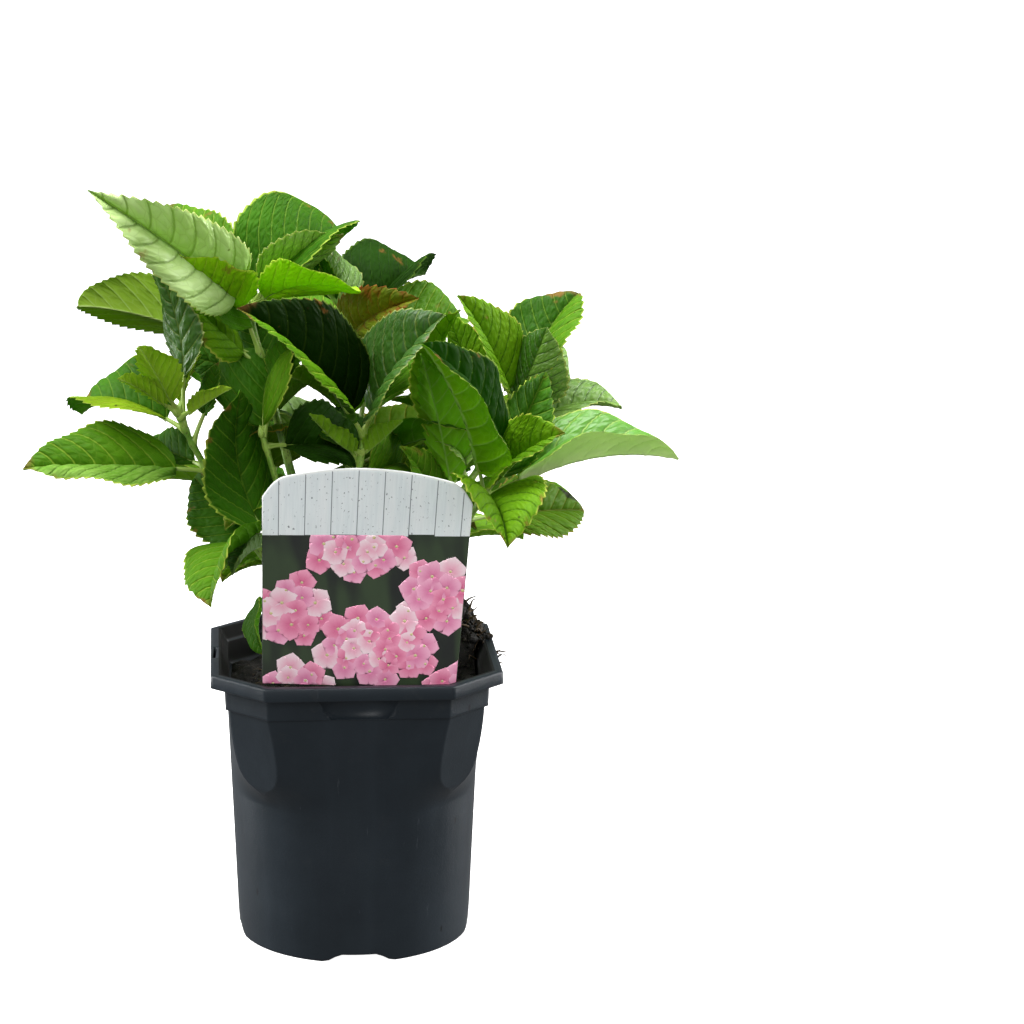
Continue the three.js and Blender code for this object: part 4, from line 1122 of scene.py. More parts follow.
class Shop:
    """The node tree of one material."""

    def __init__(self, name):
        self.material = bpy.data.materials.new(name)
        self.material.use_nodes = True
        self.tree = self.material.node_tree
        self.tree.nodes.clear()
        self.made = 0

    def node(self, kind, settings=None, inputs=None):
        """Any node: its settings first, then its sockets' values or links."""
        node = self.tree.nodes.new(kind)
        node.location = (220 * (self.made % 12), -260 * (self.made // 12))
        self.made += 1
        for key, value in (settings or {}).items():
            setattr(node, key, value)
        for key, value in (inputs or {}).items():
            self.put(node.inputs[key], value)
        return node

    def put(self, socket, value):
        """Links a socket or sets its value. Six hex digits are a colour."""
        if isinstance(value, str):
            value = linear(value)
        if isinstance(value, Number):
            value = value.socket
        if isinstance(value, bpy.types.NodeSocket):
            self.tree.links.new(value, socket)
        elif isinstance(value, (tuple, list)) and len(value) == 3 and socket.type == "RGBA":
            socket.default_value = (*value, 1.0)
        else:
            socket.default_value = value

    def math(self, operation, *values):
        """A Math node's result."""
        node = self.node("ShaderNodeMath", {"operation": operation})
        for socket, value in zip(node.inputs, values):
            self.put(socket, value)
        return Number(self, node.outputs[0])

    def mix(self, share, a, b):
        """Colour a with the share of b over it."""
        node = self.node("ShaderNodeMix", {"data_type": "RGBA"})
        for index, value in ((0, share), (6, a), (7, b)):
            self.put(node.inputs[index], value)
        return node.outputs[2]

    def layers(self, colour, *coats):
        """A colour with coats over it, each a share and its own colour."""
        for share, coat in coats:
            colour = self.mix(share, colour, coat)
        return colour

    def map(self, name):
        """The two numbers of one of the piece's own maps."""
        uv = self.node("ShaderNodeUVMap", {"uv_map": name}).outputs[0]
        parts = self.node("ShaderNodeSeparateXYZ", None, {"Vector": uv}).outputs
        return Number(self, parts[0]), Number(self, parts[1])

    def below(self):
        """1 on a leaf's underside or the card's back, else 0."""
        return Number(self, self.node("ShaderNodeAttribute", {"attribute_name": "under"}).outputs["Fac"])

    def place(self):
        """Object coordinates, and the three numbers in them, in metres."""
        vector = self.node("ShaderNodeTexCoord").outputs["Object"]
        parts = self.node("ShaderNodeSeparateXYZ", None, {"Vector": vector}).outputs
        return vector, [Number(self, part) for part in parts]

    def vector(self, x, y, z=0.0):
        """Three numbers as one vector."""
        return self.node("ShaderNodeCombineXYZ", None, {"X": x, "Y": y, "Z": z}).outputs[0]

    def noise(self, vector, scale, detail=3.0, roughness=0.5):
        """Soft noise about 0.5."""
        inputs = {"Vector": vector, "Scale": scale, "Detail": detail, "Roughness": roughness}
        return Number(self, self.node("ShaderNodeTexNoise", None, inputs).outputs[0])

    def cells(self, vector, scale, feature="DISTANCE_TO_EDGE", dimensions="3D", uneven=1.0):
        """Distances in a field of cells: to a cell's edge, or with F1 to its centre."""
        settings = {"feature": feature, "voronoi_dimensions": dimensions}
        inputs = {"Vector": vector, "Scale": scale, "Randomness": uneven}
        return Number(self, self.node("ShaderNodeTexVoronoi", settings, inputs).outputs["Distance"])

    def surface(self, colour, roughness, height=None, depth=0.0, more=None):
        """A plain surface: its colour, its roughness and its relief, if any, depth metres deep."""
        inputs = {"Base Color": colour, "Roughness": roughness, **(more or {})}
        if height is not None:
            relief = {"Height": height, "Distance": depth, "Strength": 1.0}
            inputs["Normal"] = self.node("ShaderNodeBump", None, relief).outputs[0]
        return self.node("ShaderNodeBsdfPrincipled", None, inputs).outputs[0]

    def finish(self, shader):
        """The material, with this shader as its surface."""
        self.node("ShaderNodeOutputMaterial", None, {"Surface": shader})
        return self.material


def vein_tone(name):
    """The side veins' colour on the upper face: darker than shining tissue, as painted shade in the grooves,
    else a little paler.
    """
    face, zone, _, margin = (linear(code) for code in LOOKS[name][:4])
    if name in GROOVE_SHADED_LOOKS:
        return tuple(v * GROOVE_SHADE_SHARE for v in face)
    return blend(zone, margin, PALER_VEINS.get(name, PALER_VEINS_USUAL))


def scorched(shop, name, colour, vector, across, along, fine, blotch):
    """A leaf's colour with what age and sun did to it: a russet flush, a burnt spot or a browned margin."""
    edge = abs(across)
    if name == "bronze":
        flush = (shop.noise(vector, 55.0, 4.0, 0.65) + edge * 0.14).step(0.56, 0.7)
        return shop.mix(flush * 0.8, colour, "742c10")
    if name == "burnt":
        away = (across - 0.95) ** 2 * 0.5 + (along - 0.83) ** 2 * 12
        spot = (away + (fine - 0.5) * 0.06 + (blotch - 0.5) * 0.1).step(0.13, 0.09)
        return shop.mix(spot * 0.95, colour, "20130a")
    browned = (shop.noise(vector, 90.0, 3.0, 0.6) + along * 0.2 + edge * 0.12).step(0.83, 0.95)
    return shop.mix(browned * 0.7, colour, "8a5a2c")


def leaf_finish(name, settings):
    """One leaf look: tissue with a net of fine veins, side veins and midrib that are pale, on some looks dark
    as painted shade in their grooves, a pale toothed margin, a paler matt underside, and light that comes
    through. On two-tone looks one half is painted lit and the other shaded."""
    first, _, second = name.partition("_and_")
    *codes, sheen = LOOKS[first]
    face, zone, below, margin, glow = (linear(code) for code in codes)
    vein = vein_tone(first)
    shop = Shop("leaf_" + name)
    across, along = shop.map("blade")
    lane, reach = shop.map("veins")
    tone, odd = shop.map("trait")
    under = shop.below()
    vector, _ = shop.place()
    edge = abs(across)
    blotch = shop.noise(vector, 38.0, 3.0, 0.55)
    fine = shop.noise(vector, 420.0, 2.0, 0.6)
    net_place = shop.vector(lane * 2.0 + odd * 31, reach * 0.75 + odd * 17)
    net = shop.cells(net_place, 1.0, dimensions="2D", uneven=0.9)
    from_vein = abs(lane.fraction() - 0.5)
    inside = edge.step(0.99, 0.85)
    side_vein = from_vein.step(0.435, 0.48) * inside
    groove = from_vein.step(0.37, 0.5) * inside
    midrib = abs(reach).step(0.26, 0.12)
    net_line = net.step(0.07, 0.0)
    tint = (blotch.step(0.36, 0.68) * 0.6 + tone * 0.4) * (1 - side_vein * 0.4)
    below_colour = shop.mix(blotch.step(0.3, 0.7) * 0.3, below, zone)
    # Two-tone looks: painted light and shade, the second look's colours on the half where across is above 0
    if second:
        half = across.step(-0.03, 0.03)
        face = shop.mix(half, face, LOOKS[second][0])
        zone = shop.mix(half, zone, LOOKS[second][1])
        vein = shop.mix(half, vein, vein_tone(second))
    rim = (edge + (fine - 0.5) * 0.06).step(0.94, 0.985)
    colour = shop.layers(
        face,
        (tint, zone),
        (net.step(0.02, 0.45) * 0.45, zone),
        ((side_vein * settings.vein_contrast).most(net_line * 0.26), vein),
        (midrib * 0.75, vein),
        (rim * 0.85, margin),
    )
    colour = scorched(shop, name, colour, vector, across, along, fine, blotch)
    tip = (along + edge * 0.03 + (fine - 0.5) * 0.06).step(0.93, 0.985) * odd.step(0.4, 0.6)
    specks = shop.cells(vector, 110.0, "F1").step(0.1, 0.06) * (blotch + tone * 0.1).step(0.5, 0.56)
    below_lines = (side_vein * 0.45).most(midrib * 0.8).most(net_line * 0.2)
    colour = shop.layers(
        colour,
        (tip * 0.6, "7c5630"),
        (specks * 0.7, "2a1c08"),
        (under, shop.mix(below_lines, below_colour, blend(below, PALE_RIB, 0.3))),
    )
    relief = net.step(0.0, 0.5) * 0.6 - groove * 0.8 - midrib * 0.5
    height = relief * (1 - under * 1.6) + fine * 0.05
    rough = 0.5 - sheen * 0.25 + fine * 0.1 + blotch * 0.14 + under * 0.15
    leaf = shop.surface(colour, rough, height, settings.net_depth, {"Specular IOR Level": sheen})
    through = shop.node("ShaderNodeBsdfTranslucent", None, {"Color": glow}).outputs[0]
    mixed = shop.node("ShaderNodeMixShader", None, {0: THROUGH_SHARE, 1: leaf, 2: through})
    return shop.finish(mixed.outputs[0])


def green_stem_finish():
    """Green skin that browns and cracks towards the root, with small dark pores and nodes a little paler."""
    shop = Shop("green_stem")
    age, _ = shop.map("age")
    turn, along = shop.map("grain")
    vector, _ = shop.place()
    streak = shop.noise(shop.vector(turn * 14, along * 40), 1.0, 3.0, 0.6)
    patch = shop.noise(vector, 120.0, 3.0, 0.6)
    pores = shop.cells(shop.vector(turn * 9, along * 260), 1.0, "F1", "2D").step(0.2, 0.1)
    woody = (age + (patch - 0.5) * 0.5).step(0.5, 0.85)
    colour = shop.layers(
        "5f8a2a",
        (patch.step(0.35, 0.7), "8dac45"),
        (streak.step(0.55, 0.75) * 0.4, "77612f"),
        (pores * 0.65, "4a3018"),
        (woody, shop.mix(streak.step(0.3, 0.7), "4b3a25", "8d7450")),
    )
    height = streak * (0.15 + woody * 1.2) - pores * 0.4
    return shop.finish(shop.surface(colour, 0.44 + woody * 0.35 + patch * 0.1, height, 0.35 * MM))


def stalk_finish():
    """Pale green leaf stalks and buds, finely streaked, flushed with red on one side."""
    shop = Shop("leaf_stalk")
    turn, along = shop.map("grain")
    vector, _ = shop.place()
    streak = shop.noise(shop.vector(turn * 18, along * 60), 1.0, 2.0, 0.5)
    flush = shop.noise(vector, 55.0, 2.0, 0.5).step(0.52, 0.72)
    colour = shop.layers("7fa238", (streak.step(0.3, 0.75), "a9bf62"), (flush * 0.35, "8c5a34"))
    return shop.finish(shop.surface(colour, 0.4 + streak * 0.12, streak, 0.2 * MM))


def foot_finish():
    """Grey-brown bark: long fissures with pale ridges, flaking in short plates, greener in hollows."""
    shop = Shop("foot_bark")
    turn, along = shop.map("grain")
    vector, _ = shop.place()
    wander = shop.noise(vector, 90.0, 2.0, 0.5)
    plates = shop.cells(shop.vector(turn * 26 + wander * 2, along * 150 + wander * 2), 1.0, dimensions="2D")
    streak = shop.noise(shop.vector(turn * 60, along * 90), 1.0, 4.0, 0.65)
    ridge = plates.step(0.02, 0.3)
    moss = shop.noise(vector, 45.0, 3.0, 0.6).step(0.6, 0.72)
    colour = shop.layers(
        "5b4730",
        (streak.step(0.3, 0.7), "9a8563"),
        (1 - ridge, "2c2013"),
        (moss * 0.4, "59602e"),
    )
    return shop.finish(shop.surface(colour, 0.86 - streak * 0.12, ridge + streak * 0.6, 0.7 * MM))


def pot_finish(settings):
    """Moulded slate-grey plastic: satin, a little mottled, with flow streaks, fine scuffs and dust. The
    inner wall above the soil is darkened with painted shade."""
    shop = Shop("pot_plastic")
    vector, (x, y, z) = shop.place()
    mottle = shop.noise(vector, 26.0, 4.0, 0.55)
    grain = shop.noise(vector, 900.0, 2.0, 0.6)
    flow = shop.noise(shop.vector(x * 60, y * 60, z * 5), 1.0, 3.0, 0.6)
    scuff = shop.noise(shop.vector(x * 300, y * 300, z * 34), 1.0, 3.0, 0.7).step(0.7, 0.78)
    specks = shop.cells(shop.vector(x * 60, y * 60, z * 28), 1.0, "F1").step(0.07, 0.03)
    ledges = z.step(0.0, 0.03) * 0.5 + z.step(0.12, 0.15) * 0.5
    dust = shop.noise(vector, 60.0, 5.0, 0.7).step(0.55, 0.8) * ledges
    # Painted shade: the inner wall from the rim to just above the soil, darkened nearly to black
    wide, deep = (abs(way) for way in turned(x, y, -POT_YAW))
    flare = (z - INNER_SHADE["flare_from"]).most(0.0) * INNER_SHADE["flare"]
    inside = (flare + INNER_SHADE["half"] - wide.most(deep)).step(0.0, INNER_SHADE["edge"])
    inside = inside * (flare + INNER_SHADE["flat"] - (wide + deep) * math.sqrt(0.5)).step(0.0, INNER_SHADE["edge"])
    inside = inside * z.step(*INNER_SHADE["heights"])
    base = tuple(settings.colour)
    colour = shop.layers(
        base,
        (mottle.step(0.3, 0.75) * 0.55 + flow.step(0.45, 0.8) * 0.3, tuple(v * 1.5 + 0.003 for v in base)),
        (scuff * 0.25, "6b7178"),
        (specks * 0.85, "08090b"),
        (dust * 0.035, "857a68"),
        # painted shade, near black, over the inner wall
        (inside * 0.95, "060605"),
    )
    rough = settings.roughness + inside * 0.3 + mottle * 0.12 + scuff * 0.12 + dust * 0.1 - 0.05
    height = grain * 0.5 + mottle * 0.8 + scuff * 0.3
    return shop.finish(shop.surface(colour, rough, height, 0.12 * MM, {"Specular IOR Level": 0.26}))


def soil_finish(name, dark, pale, scale):
    """Moist peat: near-black crumbs with paler fibres and a few light grains."""
    shop = Shop(name)
    vector, _ = shop.place()
    crumbs = shop.noise(vector, scale, 5.0, 0.7)
    fibre = shop.noise(vector, scale * 3.1, 3.0, 0.6)
    grains = shop.cells(vector, scale * 1.4, "F1").step(0.16, 0.08)
    colour = shop.layers(dark, (crumbs.step(0.35, 0.72), pale), (grains * 0.3, "7b6a50"))
    return shop.finish(shop.surface(colour, 0.82 + fibre * 0.15, crumbs + fibre * 0.5, 1.2 * MM))


def straw_finish():
    """Dry roots and straw: brown with pale lengthwise streaks."""
    shop = Shop("dry_straw")
    turn, along = shop.map("grain")
    streak = shop.noise(shop.vector(turn * 8, along * 120), 1.0, 3.0, 0.6)
    colour = shop.mix(streak.step(0.3, 0.75), "2c2014", "64502f")
    return shop.finish(shop.surface(colour, 0.7 + streak * 0.1, streak, 0.15 * MM))


def card_finish():
    """The printed card: whitewashed boards above, a dark leafy ground below, a plain back and white rim.

    The face map runs from -1 to 1 across and from 0 to 1 up; the picture ends a little inside the rim."""
    shop = Shop("label_card")
    across, up = shop.map("face")
    level, _ = shop.map("level")
    plank = across * BOARD_COUNT + BOARD_SHIFT
    lane = plank.fraction()
    number = plank - lane
    grain = shop.noise(shop.vector(across * 40 + number * 7, up * 5 + number * 3), 1.0, 5.0, 0.65)
    coarse = shop.noise(shop.vector(across * 9 + number * 5, up * 3), 1.0, 3.0, 0.5)
    dents = shop.noise(shop.vector(across * 42 + number * 3, up * 60), 1.0, 2.0, 0.5).step(0.66, 0.71)
    worn = shop.noise(shop.vector(across * 15 + number, up * 17), 1.0, 5.0, 0.75).step(0.62, 0.74)
    wood = shop.layers(
        "e9f1f2",
        (grain.step(0.3, 0.7) * 0.45, "d0d9dc"),
        (coarse.step(0.35, 0.7) * 0.4, "f4f6f6"),
        (worn * 0.6, "8d949a"),
        (dents * 0.75, "4a5058"),
        (abs(lane - 0.5).step(0.478, 0.49) * 0.85, "3c4250"),
    )
    leafy = shop.noise(shop.vector(across * 2.6, up * 2.9), 1.0, 4.0, 0.55)
    blades = shop.cells(shop.vector(across * 5 + up * 3, up * 2.2 - across * 2), 1.0, "SMOOTH_F1", "2D")
    ground = shop.mix(leafy.step(0.35, 0.68), "101614", "202c1c")
    ground = shop.mix(blades.step(0.55, 0.2) * 0.5, ground, "3c5230")
    uneven = (shop.noise(shop.vector(number * 5.3, 0.0), 1.0, 0.0) - 0.5) * 0.03
    board = (level - across * BOARDS_TILT + uneven).step(BOARDS_FROM, BOARDS_FROM + 0.002)
    rim = (abs(across).step(0.988, 0.992) * board).most(up.step(0.988, 0.992))
    cloudy = shop.noise(shop.vector(across * 30, up * 30), 1.0).step(0.3, 0.7) * 0.2
    colour = shop.layers(
        ground,
        (board, wood),
        (rim, "eef0ee"),
        (shop.below(), shop.mix(cloudy, "eef0ee", "dfe2df")),
    )
    coat = {"Coat Weight": 0.15, "Coat Roughness": 0.2}
    return shop.finish(shop.surface(colour, 0.42 + grain * 0.08, grain, 0.02 * MM, coat))


def petal_finish(name, pale, deep):
    """Printed petals: deep at the heart, pale towards the rim, with fine veins."""
    shop = Shop(name)
    across, out = shop.map("petal")
    vein = shop.noise(shop.vector(across * 6, out * 1.2), 1.0, 3.0, 0.6)
    heart = out.step(0.95, 0.1) * 0.75 + vein.step(0.5, 0.75) * 0.2
    colour = shop.layers(pale, (heart, deep), (abs(across).step(0.8, 1.0) * 0.35, deep))
    return shop.finish(shop.surface(colour, 0.42 + vein * 0.06, vein, 0.02 * MM))


def floor_finish(settings):
    """Plain pale studio floor with a faint unevenness, lit by itself as a light table is."""
    shop = Shop("studio_floor")
    vector, _ = shop.place()
    faint = shop.noise(vector, 3.0, 2.0, 0.5)
    base = tuple(settings.floor)
    colour = shop.mix(faint * 0.3, base, tuple(v * 0.985 for v in base))
    glow = {"Emission Color": (1.0, 1.0, 1.0), "Emission Strength": settings.glow}
    return shop.finish(shop.surface(colour, 0.7 + faint * 0.1, more=glow))


# Pieces

def leaves_of(shoot):
    """The leaves of a shoot as named values, from its rows or from its pairs."""
    rows = pairs(**shoot["pairs"]) if "pairs" in shoot else shoot["leaves"]
    return [leaf_of(row) for row in rows]


def make_leaves(settings):
    """One piece for each shoot's leaves, with the finishes that they have."""
    finishes = {}
    for number, (name, shoot) in enumerate(SHOOTS.items()):
        chance = np.random.RandomState(LEAF_SEED + number)
        leaves = leaves_of(shoot)
        looks = sorted({leaf["look"] for leaf in leaves})
        for look in looks:
            if look not in finishes:
                finishes[look] = leaf_finish(look, settings)
        piece = Piece("leaves_" + name)
        for leaf in leaves:
            root = curve_point(shoot["stem"], leaf["place"])
            points, maps, unroll, under = blade(root, leaf, chance, settings)
            piece.add(points, maps, looks.index(leaf["look"]), unroll, under)
        piece.build([finishes[look] for look in looks], ["foliage_" + name])


def make_shoots(settings):
    """One piece for each shoot: its stem, leaf stalks and end bud."""
    finishes = [green_stem_finish(), stalk_finish()]
    for number, (name, shoot) in enumerate(SHOOTS.items()):
        piece = Piece("shoot_" + name)
        add_shoot(piece, shoot, leaves_of(shoot), number, settings)
        piece.build(finishes, ["stem_" + name])


def make_foot(settings):
    """The woody foot, one piece."""
    piece = Piece("foot")
    piece.add(*foot_surface(settings))
    piece.build([foot_finish()], ["woody_foot"])


def make_pot(settings):
    """The pot, with its cutters taken out of it for good."""
    piece = Piece("nursery_pot")
    piece.add(pot_surface())
    pot = piece.build([pot_finish(settings)], ["pot"])
    cutters = Piece("cutters")
    for points in pot_cutters():
        cutters.add(points)
    cutter = cutters.mesh_object([])
    cut = pot.modifiers.new("cut", "BOOLEAN")
    cut.operation = "DIFFERENCE"
    cut.solver = "EXACT"
    cut.object = cutter
    graph = bpy.context.evaluated_depsgraph_get()
    done = bpy.data.meshes.new_from_object(pot.evaluated_get(graph))
    pot.modifiers.clear()
    pot.data = done
    done.name = "nursery_pot"
    bpy.data.objects.remove(cutter)
    if not len(done.polygons):
        raise RuntimeError("the cut left nothing of the pot")


def near_heap(chance, off, spread):
    """A random place on the soil's heap: its middle, how far off it in x and y, and the scatter."""
    return [HEAP[axis] + shift + chance.normal() * spread for axis, shift in zip("xy", off)]


def scatter_crumbs(piece, chance, settings):
    """Crumbs all over the soil, every third or so on the heap and on the rim beside it."""
    for _ in range(settings.crumbs):
        turn, reach = chance.uniform(0, 2 * math.pi), CRUMBS["reach"] * math.sqrt(chance.uniform(0.01, 1))
        x, y = reach * math.cos(turn), reach * math.sin(turn)
        edge = CRUMBS["edge"]
        if chance.uniform() < CRUMBS["heap_share"]:
            x, y = near_heap(chance, (6, 4), 7)
            edge = CRUMBS["heap_edge"]
        if math.hypot(x, y) > edge:
            continue
        size = chance.uniform(*CRUMB["sizes"]) * (1 + (chance.uniform() < CRUMBS["big"]))
        ground = soil_top(x, y)
        if math.hypot(x, y) > CRUMBS["rim"]:
            ground = max(ground, POT_HEIGHT)
        place = np.array([x, y, ground + size * CRUMB["sunk"]])
        piece.add(crumb(place, size, chance), finish=int(chance.uniform() < CRUMBS["dry"]))


def scatter_straws(piece, chance, settings):
    """Thick roots that stand out of the heap, and thin straws that lie on the soil inside the pot."""
    for _ in range(settings.straws):
        if chance.uniform() < STRAWS["heap_share"]:
            x, y = near_heap(chance, (8, 3), 6)
            rise = chance.uniform(0.1, 1.2)
            length, sag = chance.uniform(6, 17), chance.uniform(2, 9)
            thick = STRAWS["root_thick"]
        else:
            turn, reach = chance.uniform(0, 2 * math.pi), chance.uniform(12, 55)
            x, y = reach * math.cos(turn), reach * math.sin(turn)
            rise, length, sag = 0.12, chance.uniform(8, 20), chance.uniform(0, 1.5)
            thick = 1.0
        start = np.array([x, y, soil_top(x, y) + STRAWS["lift"]])
        heading = chance.uniform(0, 2 * math.pi)
        far = math.hypot(x + length * math.cos(heading), y + length * math.sin(heading))
        if rise < STRAWS["steep"] and far > STRAWS["edge"]:
            heading += math.pi
        radius = chance.uniform(0.2, 0.45) * thick
        piece.add(*strand(start, heading, rise, length, radius, sag, STRAWS["wobble"], chance))


def make_soil(settings):
    """The root ball with its crumbs, and the roots and straws on it."""
    chance = np.random.RandomState(SOIL_SEED)
    soil = Piece("soil")
    soil.add(soil_surface(settings))
    scatter_crumbs(soil, chance, settings)
    peat = soil_finish("moist_peat", "050504", "1e1911", 260)
    dry = soil_finish("dry_crumb", "17120c", "463927", 300)
    soil.build([peat, dry], ["potting_soil"])
    straw = Piece("straw")
    scatter_straws(straw, chance, settings)
    straw.build([straw_finish()])


def print_flower(piece, u, v, level, chance, settings):
    """Five petals round one place of the card, each a little over the last, and a small heart on them."""
    size = settings.petal / MM * chance.uniform(0.8, 1.15)
    spin = chance.uniform(0, 2 * math.pi)
    finish = int(chance.randint(0, 3))
    for petal in range(PETALS):
        way = spin + petal * 2 * math.pi / PETALS + chance.uniform(-0.1, 0.1)
        lift = level + PRINT["petal"] * petal
        piece.add(*petal_surface((u, v), way, size, size * 1.12, lift, PRINT["dish"]), finish=finish)
    size, lift = size * 0.2, lift + PRINT["heart"]
    piece.add(*petal_surface((u, v - 0.006), math.pi / 2, size, size, lift, PRINT["heart_dish"]), finish=3)


def make_label(settings):
    """The card with its stake, and the flowers printed on it: sprays filled from their middle outwards,
    each flower a fixed turn from the last, at the square root of its share of the spray's reach."""
    card = Piece("label_card")
    points, maps, unroll, back = card_surface()
    card.add(points, maps, unroll=unroll, under=back)
    stake = stake_surface()
    card.add(stake, under=np.ones(stake.shape[1]))
    card.build([card_finish()], ["plant_label"])
    chance = np.random.RandomState(settings.seed)
    flowers = Piece("label_print")
    printed = 0
    for spray_u, spray_v, spread_u, spread_v, count in SPRAYS:
        for k in range(count):
            turn, reach = k * FLOWER_TURN, math.sqrt((k + 0.5) / count)
            u = spray_u + spread_u * reach * math.cos(turn) + chance.uniform(-0.02, 0.02)
            v = spray_v + spread_v * reach * math.sin(turn) + chance.uniform(-0.01, 0.01)
            level = PRINT["level"] + PRINT["spray"] * (count - k) / count + PRINT["flower"] * printed
            print_flower(flowers, u, v, level, chance, settings)
            printed += 1
    flowers.build([
        petal_finish("petal_rose", "fba8c6", "dc5e8e"),
        petal_finish("petal_mauve", "fcb8d4", "de70a2"),
        petal_finish("petal_blush", "ffe4ec", "f09ab8"),
        petal_finish("petal_heart", "eae2b0", "bcae68"),
    ])


def make_floor(settings):
    """The floor: one large square that the plant's light doesn't take colour from."""
    mesh = bpy.data.meshes.new("studio_floor")
    corners = [(x * FLOOR_REACH, y * FLOOR_REACH, 0) for x, y in ((-1, -1), (1, -1), (1, 1), (-1, 1))]
    mesh.from_pydata(corners, [], [(0, 1, 2, 3)])
    mesh.materials.append(floor_finish(settings))
    floor = link("studio_floor", mesh)
    floor.visible_diffuse = floor.visible_glossy = floor.visible_transmission = False


def make_lamps(settings):
    """Rectangular lamps, all turned to the middle of the plant."""
    for name, power, place, wide, tall in LAMPS:
        light = bpy.data.lights.new(name, "AREA")
        light.shape = "RECTANGLE"
        light.size, light.size_y = wide, tall
        light.energy = getattr(settings, power)
        lamp = link(name, light)
        lamp.location = place
        lamp.rotation_euler = (Vector(LAMP_TARGET) - Vector(place)).to_track_quat("-Z", "Y").to_euler()


def make_camera():
    """The camera, turned by its yaw to the right, its pitch downwards and its roll."""
    pitch, yaw, roll = CAMERA_PITCH, CAMERA_YAW, CAMERA_ROLL
    ahead = Vector((math.sin(yaw) * math.cos(pitch), math.cos(yaw) * math.cos(pitch), -math.sin(pitch)))
    level = Vector((math.cos(yaw), -math.sin(yaw), 0))
    up = level.cross(ahead)
    right = level * math.cos(roll) + up * math.sin(roll)
    over = up * math.cos(roll) - level * math.sin(roll)
    lens = bpy.data.cameras.new("photo_view")
    lens.lens, lens.sensor_width, lens.clip_end = CAMERA_LENS, SENSOR, 100
    camera = link("photo_view", lens)
    facing = Matrix((right, over, -ahead)).transposed().to_4x4()
    camera.matrix_world = Matrix.Translation(CAMERA_PLACE) @ facing
    return camera


def make_stage(settings):
    """Floor, even light from all round, lamps and camera."""
    scene = bpy.context.scene
    make_floor(settings)
    scene.world = bpy.data.worlds.new("studio")
    scene.world.use_nodes = True
    around = scene.world.node_tree.nodes["Background"].inputs
    around["Color"].default_value = (1, 1, 1, 1)
    around["Strength"].default_value = settings.world
    make_lamps(settings)
    scene.camera = make_camera()
    scene.view_settings.view_transform = "Standard"
    scene.view_settings.look = "None"
    scene.view_settings.exposure = settings.exposure


# Settings

def length_setting(name, description, default, low=0.0, high=0.1):
    """A length in metres, shown with the scene's units."""
    return FloatProperty(name=name, description=description, default=default, min=low, max=high,
                         unit="LENGTH", subtype="DISTANCE", precision=4)


def share_setting(name, description, default, high=1.0):
    """A plain number from 0 up."""
    return FloatProperty(name=name, description=description, default=default, min=0.0, max=high)


def count_setting(name, description, default, low, high):
    """A whole number."""
    return IntProperty(name=name, description=description, default=default, min=low, max=high)


def colour_setting(name, description, default):
    """A linear colour."""
    return FloatVectorProperty(name=name, description=description, default=default, min=0.0, max=1.0,
                               size=3, subtype="COLOR")


class LeafSettings(bpy.types.PropertyGroup):
    tooth_pitch: length_setting("Tooth pitch", "Way along the margin from tooth to tooth", 0.0045, 0.002)
    tooth_depth: length_setting("Tooth depth", "How far a tooth stands out", 0.0019)
    vein_pitch: length_setting("Vein pitch", "Side veins' spacing on a leaf 95 mm long", 0.0125, 0.004)
    puff: length_setting("Puff", "Height of the tissue between side veins", 0.0018)
    wave: length_setting("Wave", "Height of the margin's waves on a leaf 95 mm long", 0.002)
    midrib_dip: length_setting("Midrib dip", "Depth of the groove over the midrib", 0.0009)
    thickness: length_setting("Thickness", "Thickness of the blade", 0.0003)
    rib: length_setting("Rib", "Height of the midrib under the blade", 0.001)
    net_depth: length_setting("Net depth", "Depth of the finest relief", 0.0006)
    vein_contrast: share_setting("Vein contrast", "How far side veins differ from the tissue", 0.85)


class ShootSettings(bpy.types.PropertyGroup):
    swelling: length_setting("Swelling", "How far a stem swells where leaves stand", 0.0006)
    stem_sides: count_setting("Stem sides", "Points round a stem", 18, 6, 48)
    stem_steps: count_setting("Stem steps", "Rings along a stem", 90, 12, 300)
    stalk_sides: count_setting("Stalk sides", "Points round a leaf stalk", 12, 6, 32)
    stalk_steps: count_setting("Stalk steps", "Rings along a leaf stalk", 14, 5, 60)


class FootSettings(bpy.types.PropertyGroup):
    bark_depth: length_setting("Bark depth", "Depth of the bark's fissures", 0.0005)


class PotSettings(bpy.types.PropertyGroup):
    colour: colour_setting("Colour", "Colour of the pot's plastic", (0.0098, 0.0150, 0.0202))
    roughness: share_setting("Roughness", "Sheen of the plastic, from glossy to matt", 0.42)


class SoilSettings(bpy.types.PropertyGroup):
    rings: count_setting("Rings", "Rings of the soil's top", 70, 10, 200)
    relief: length_setting("Relief", "Height of the soil's small lumps", 0.001)
    crumbs: count_setting("Crumbs", "Loose lumps on the soil", 1500, 0, 5000)
    straws: count_setting("Straws", "Roots and straws on the soil", 110, 0, 400)


class LabelSettings(bpy.types.PropertyGroup):
    petal: length_setting("Petal", "Length of a printed petal", 0.0078, 0.002)
    seed: count_setting("Seed", "Seed of the printed flowers' places", 12, 0, 9999)


class StageSettings(bpy.types.PropertyGroup):
    floor: colour_setting("Floor", "Colour of the studio floor", (0.55, 0.55, 0.55))
    glow: share_setting("Floor glow", "Light that the floor gives by itself, as a lit table does", 1.0, 5.0)
    world: share_setting("Surroundings", "Light from all round", 0.33, 5.0)
    key: share_setting("Key light", "Power of the large light at the upper left", 49.0, 1000.0)
    fill: share_setting("Fill light", "Power of the light at the right", 21.0, 1000.0)
    front: share_setting("Front light", "Power of the light behind the camera", 24.0, 1000.0)
    top: share_setting("Top light", "Power of the light overhead", 77.0, 1000.0)
    strips: share_setting("Strip lights", "Power of the lights along the pot's sides", 30.0, 1000.0)
    exposure: FloatProperty(name="Exposure", description="Stops of exposure", default=0.0, min=-3.0, max=3.0)


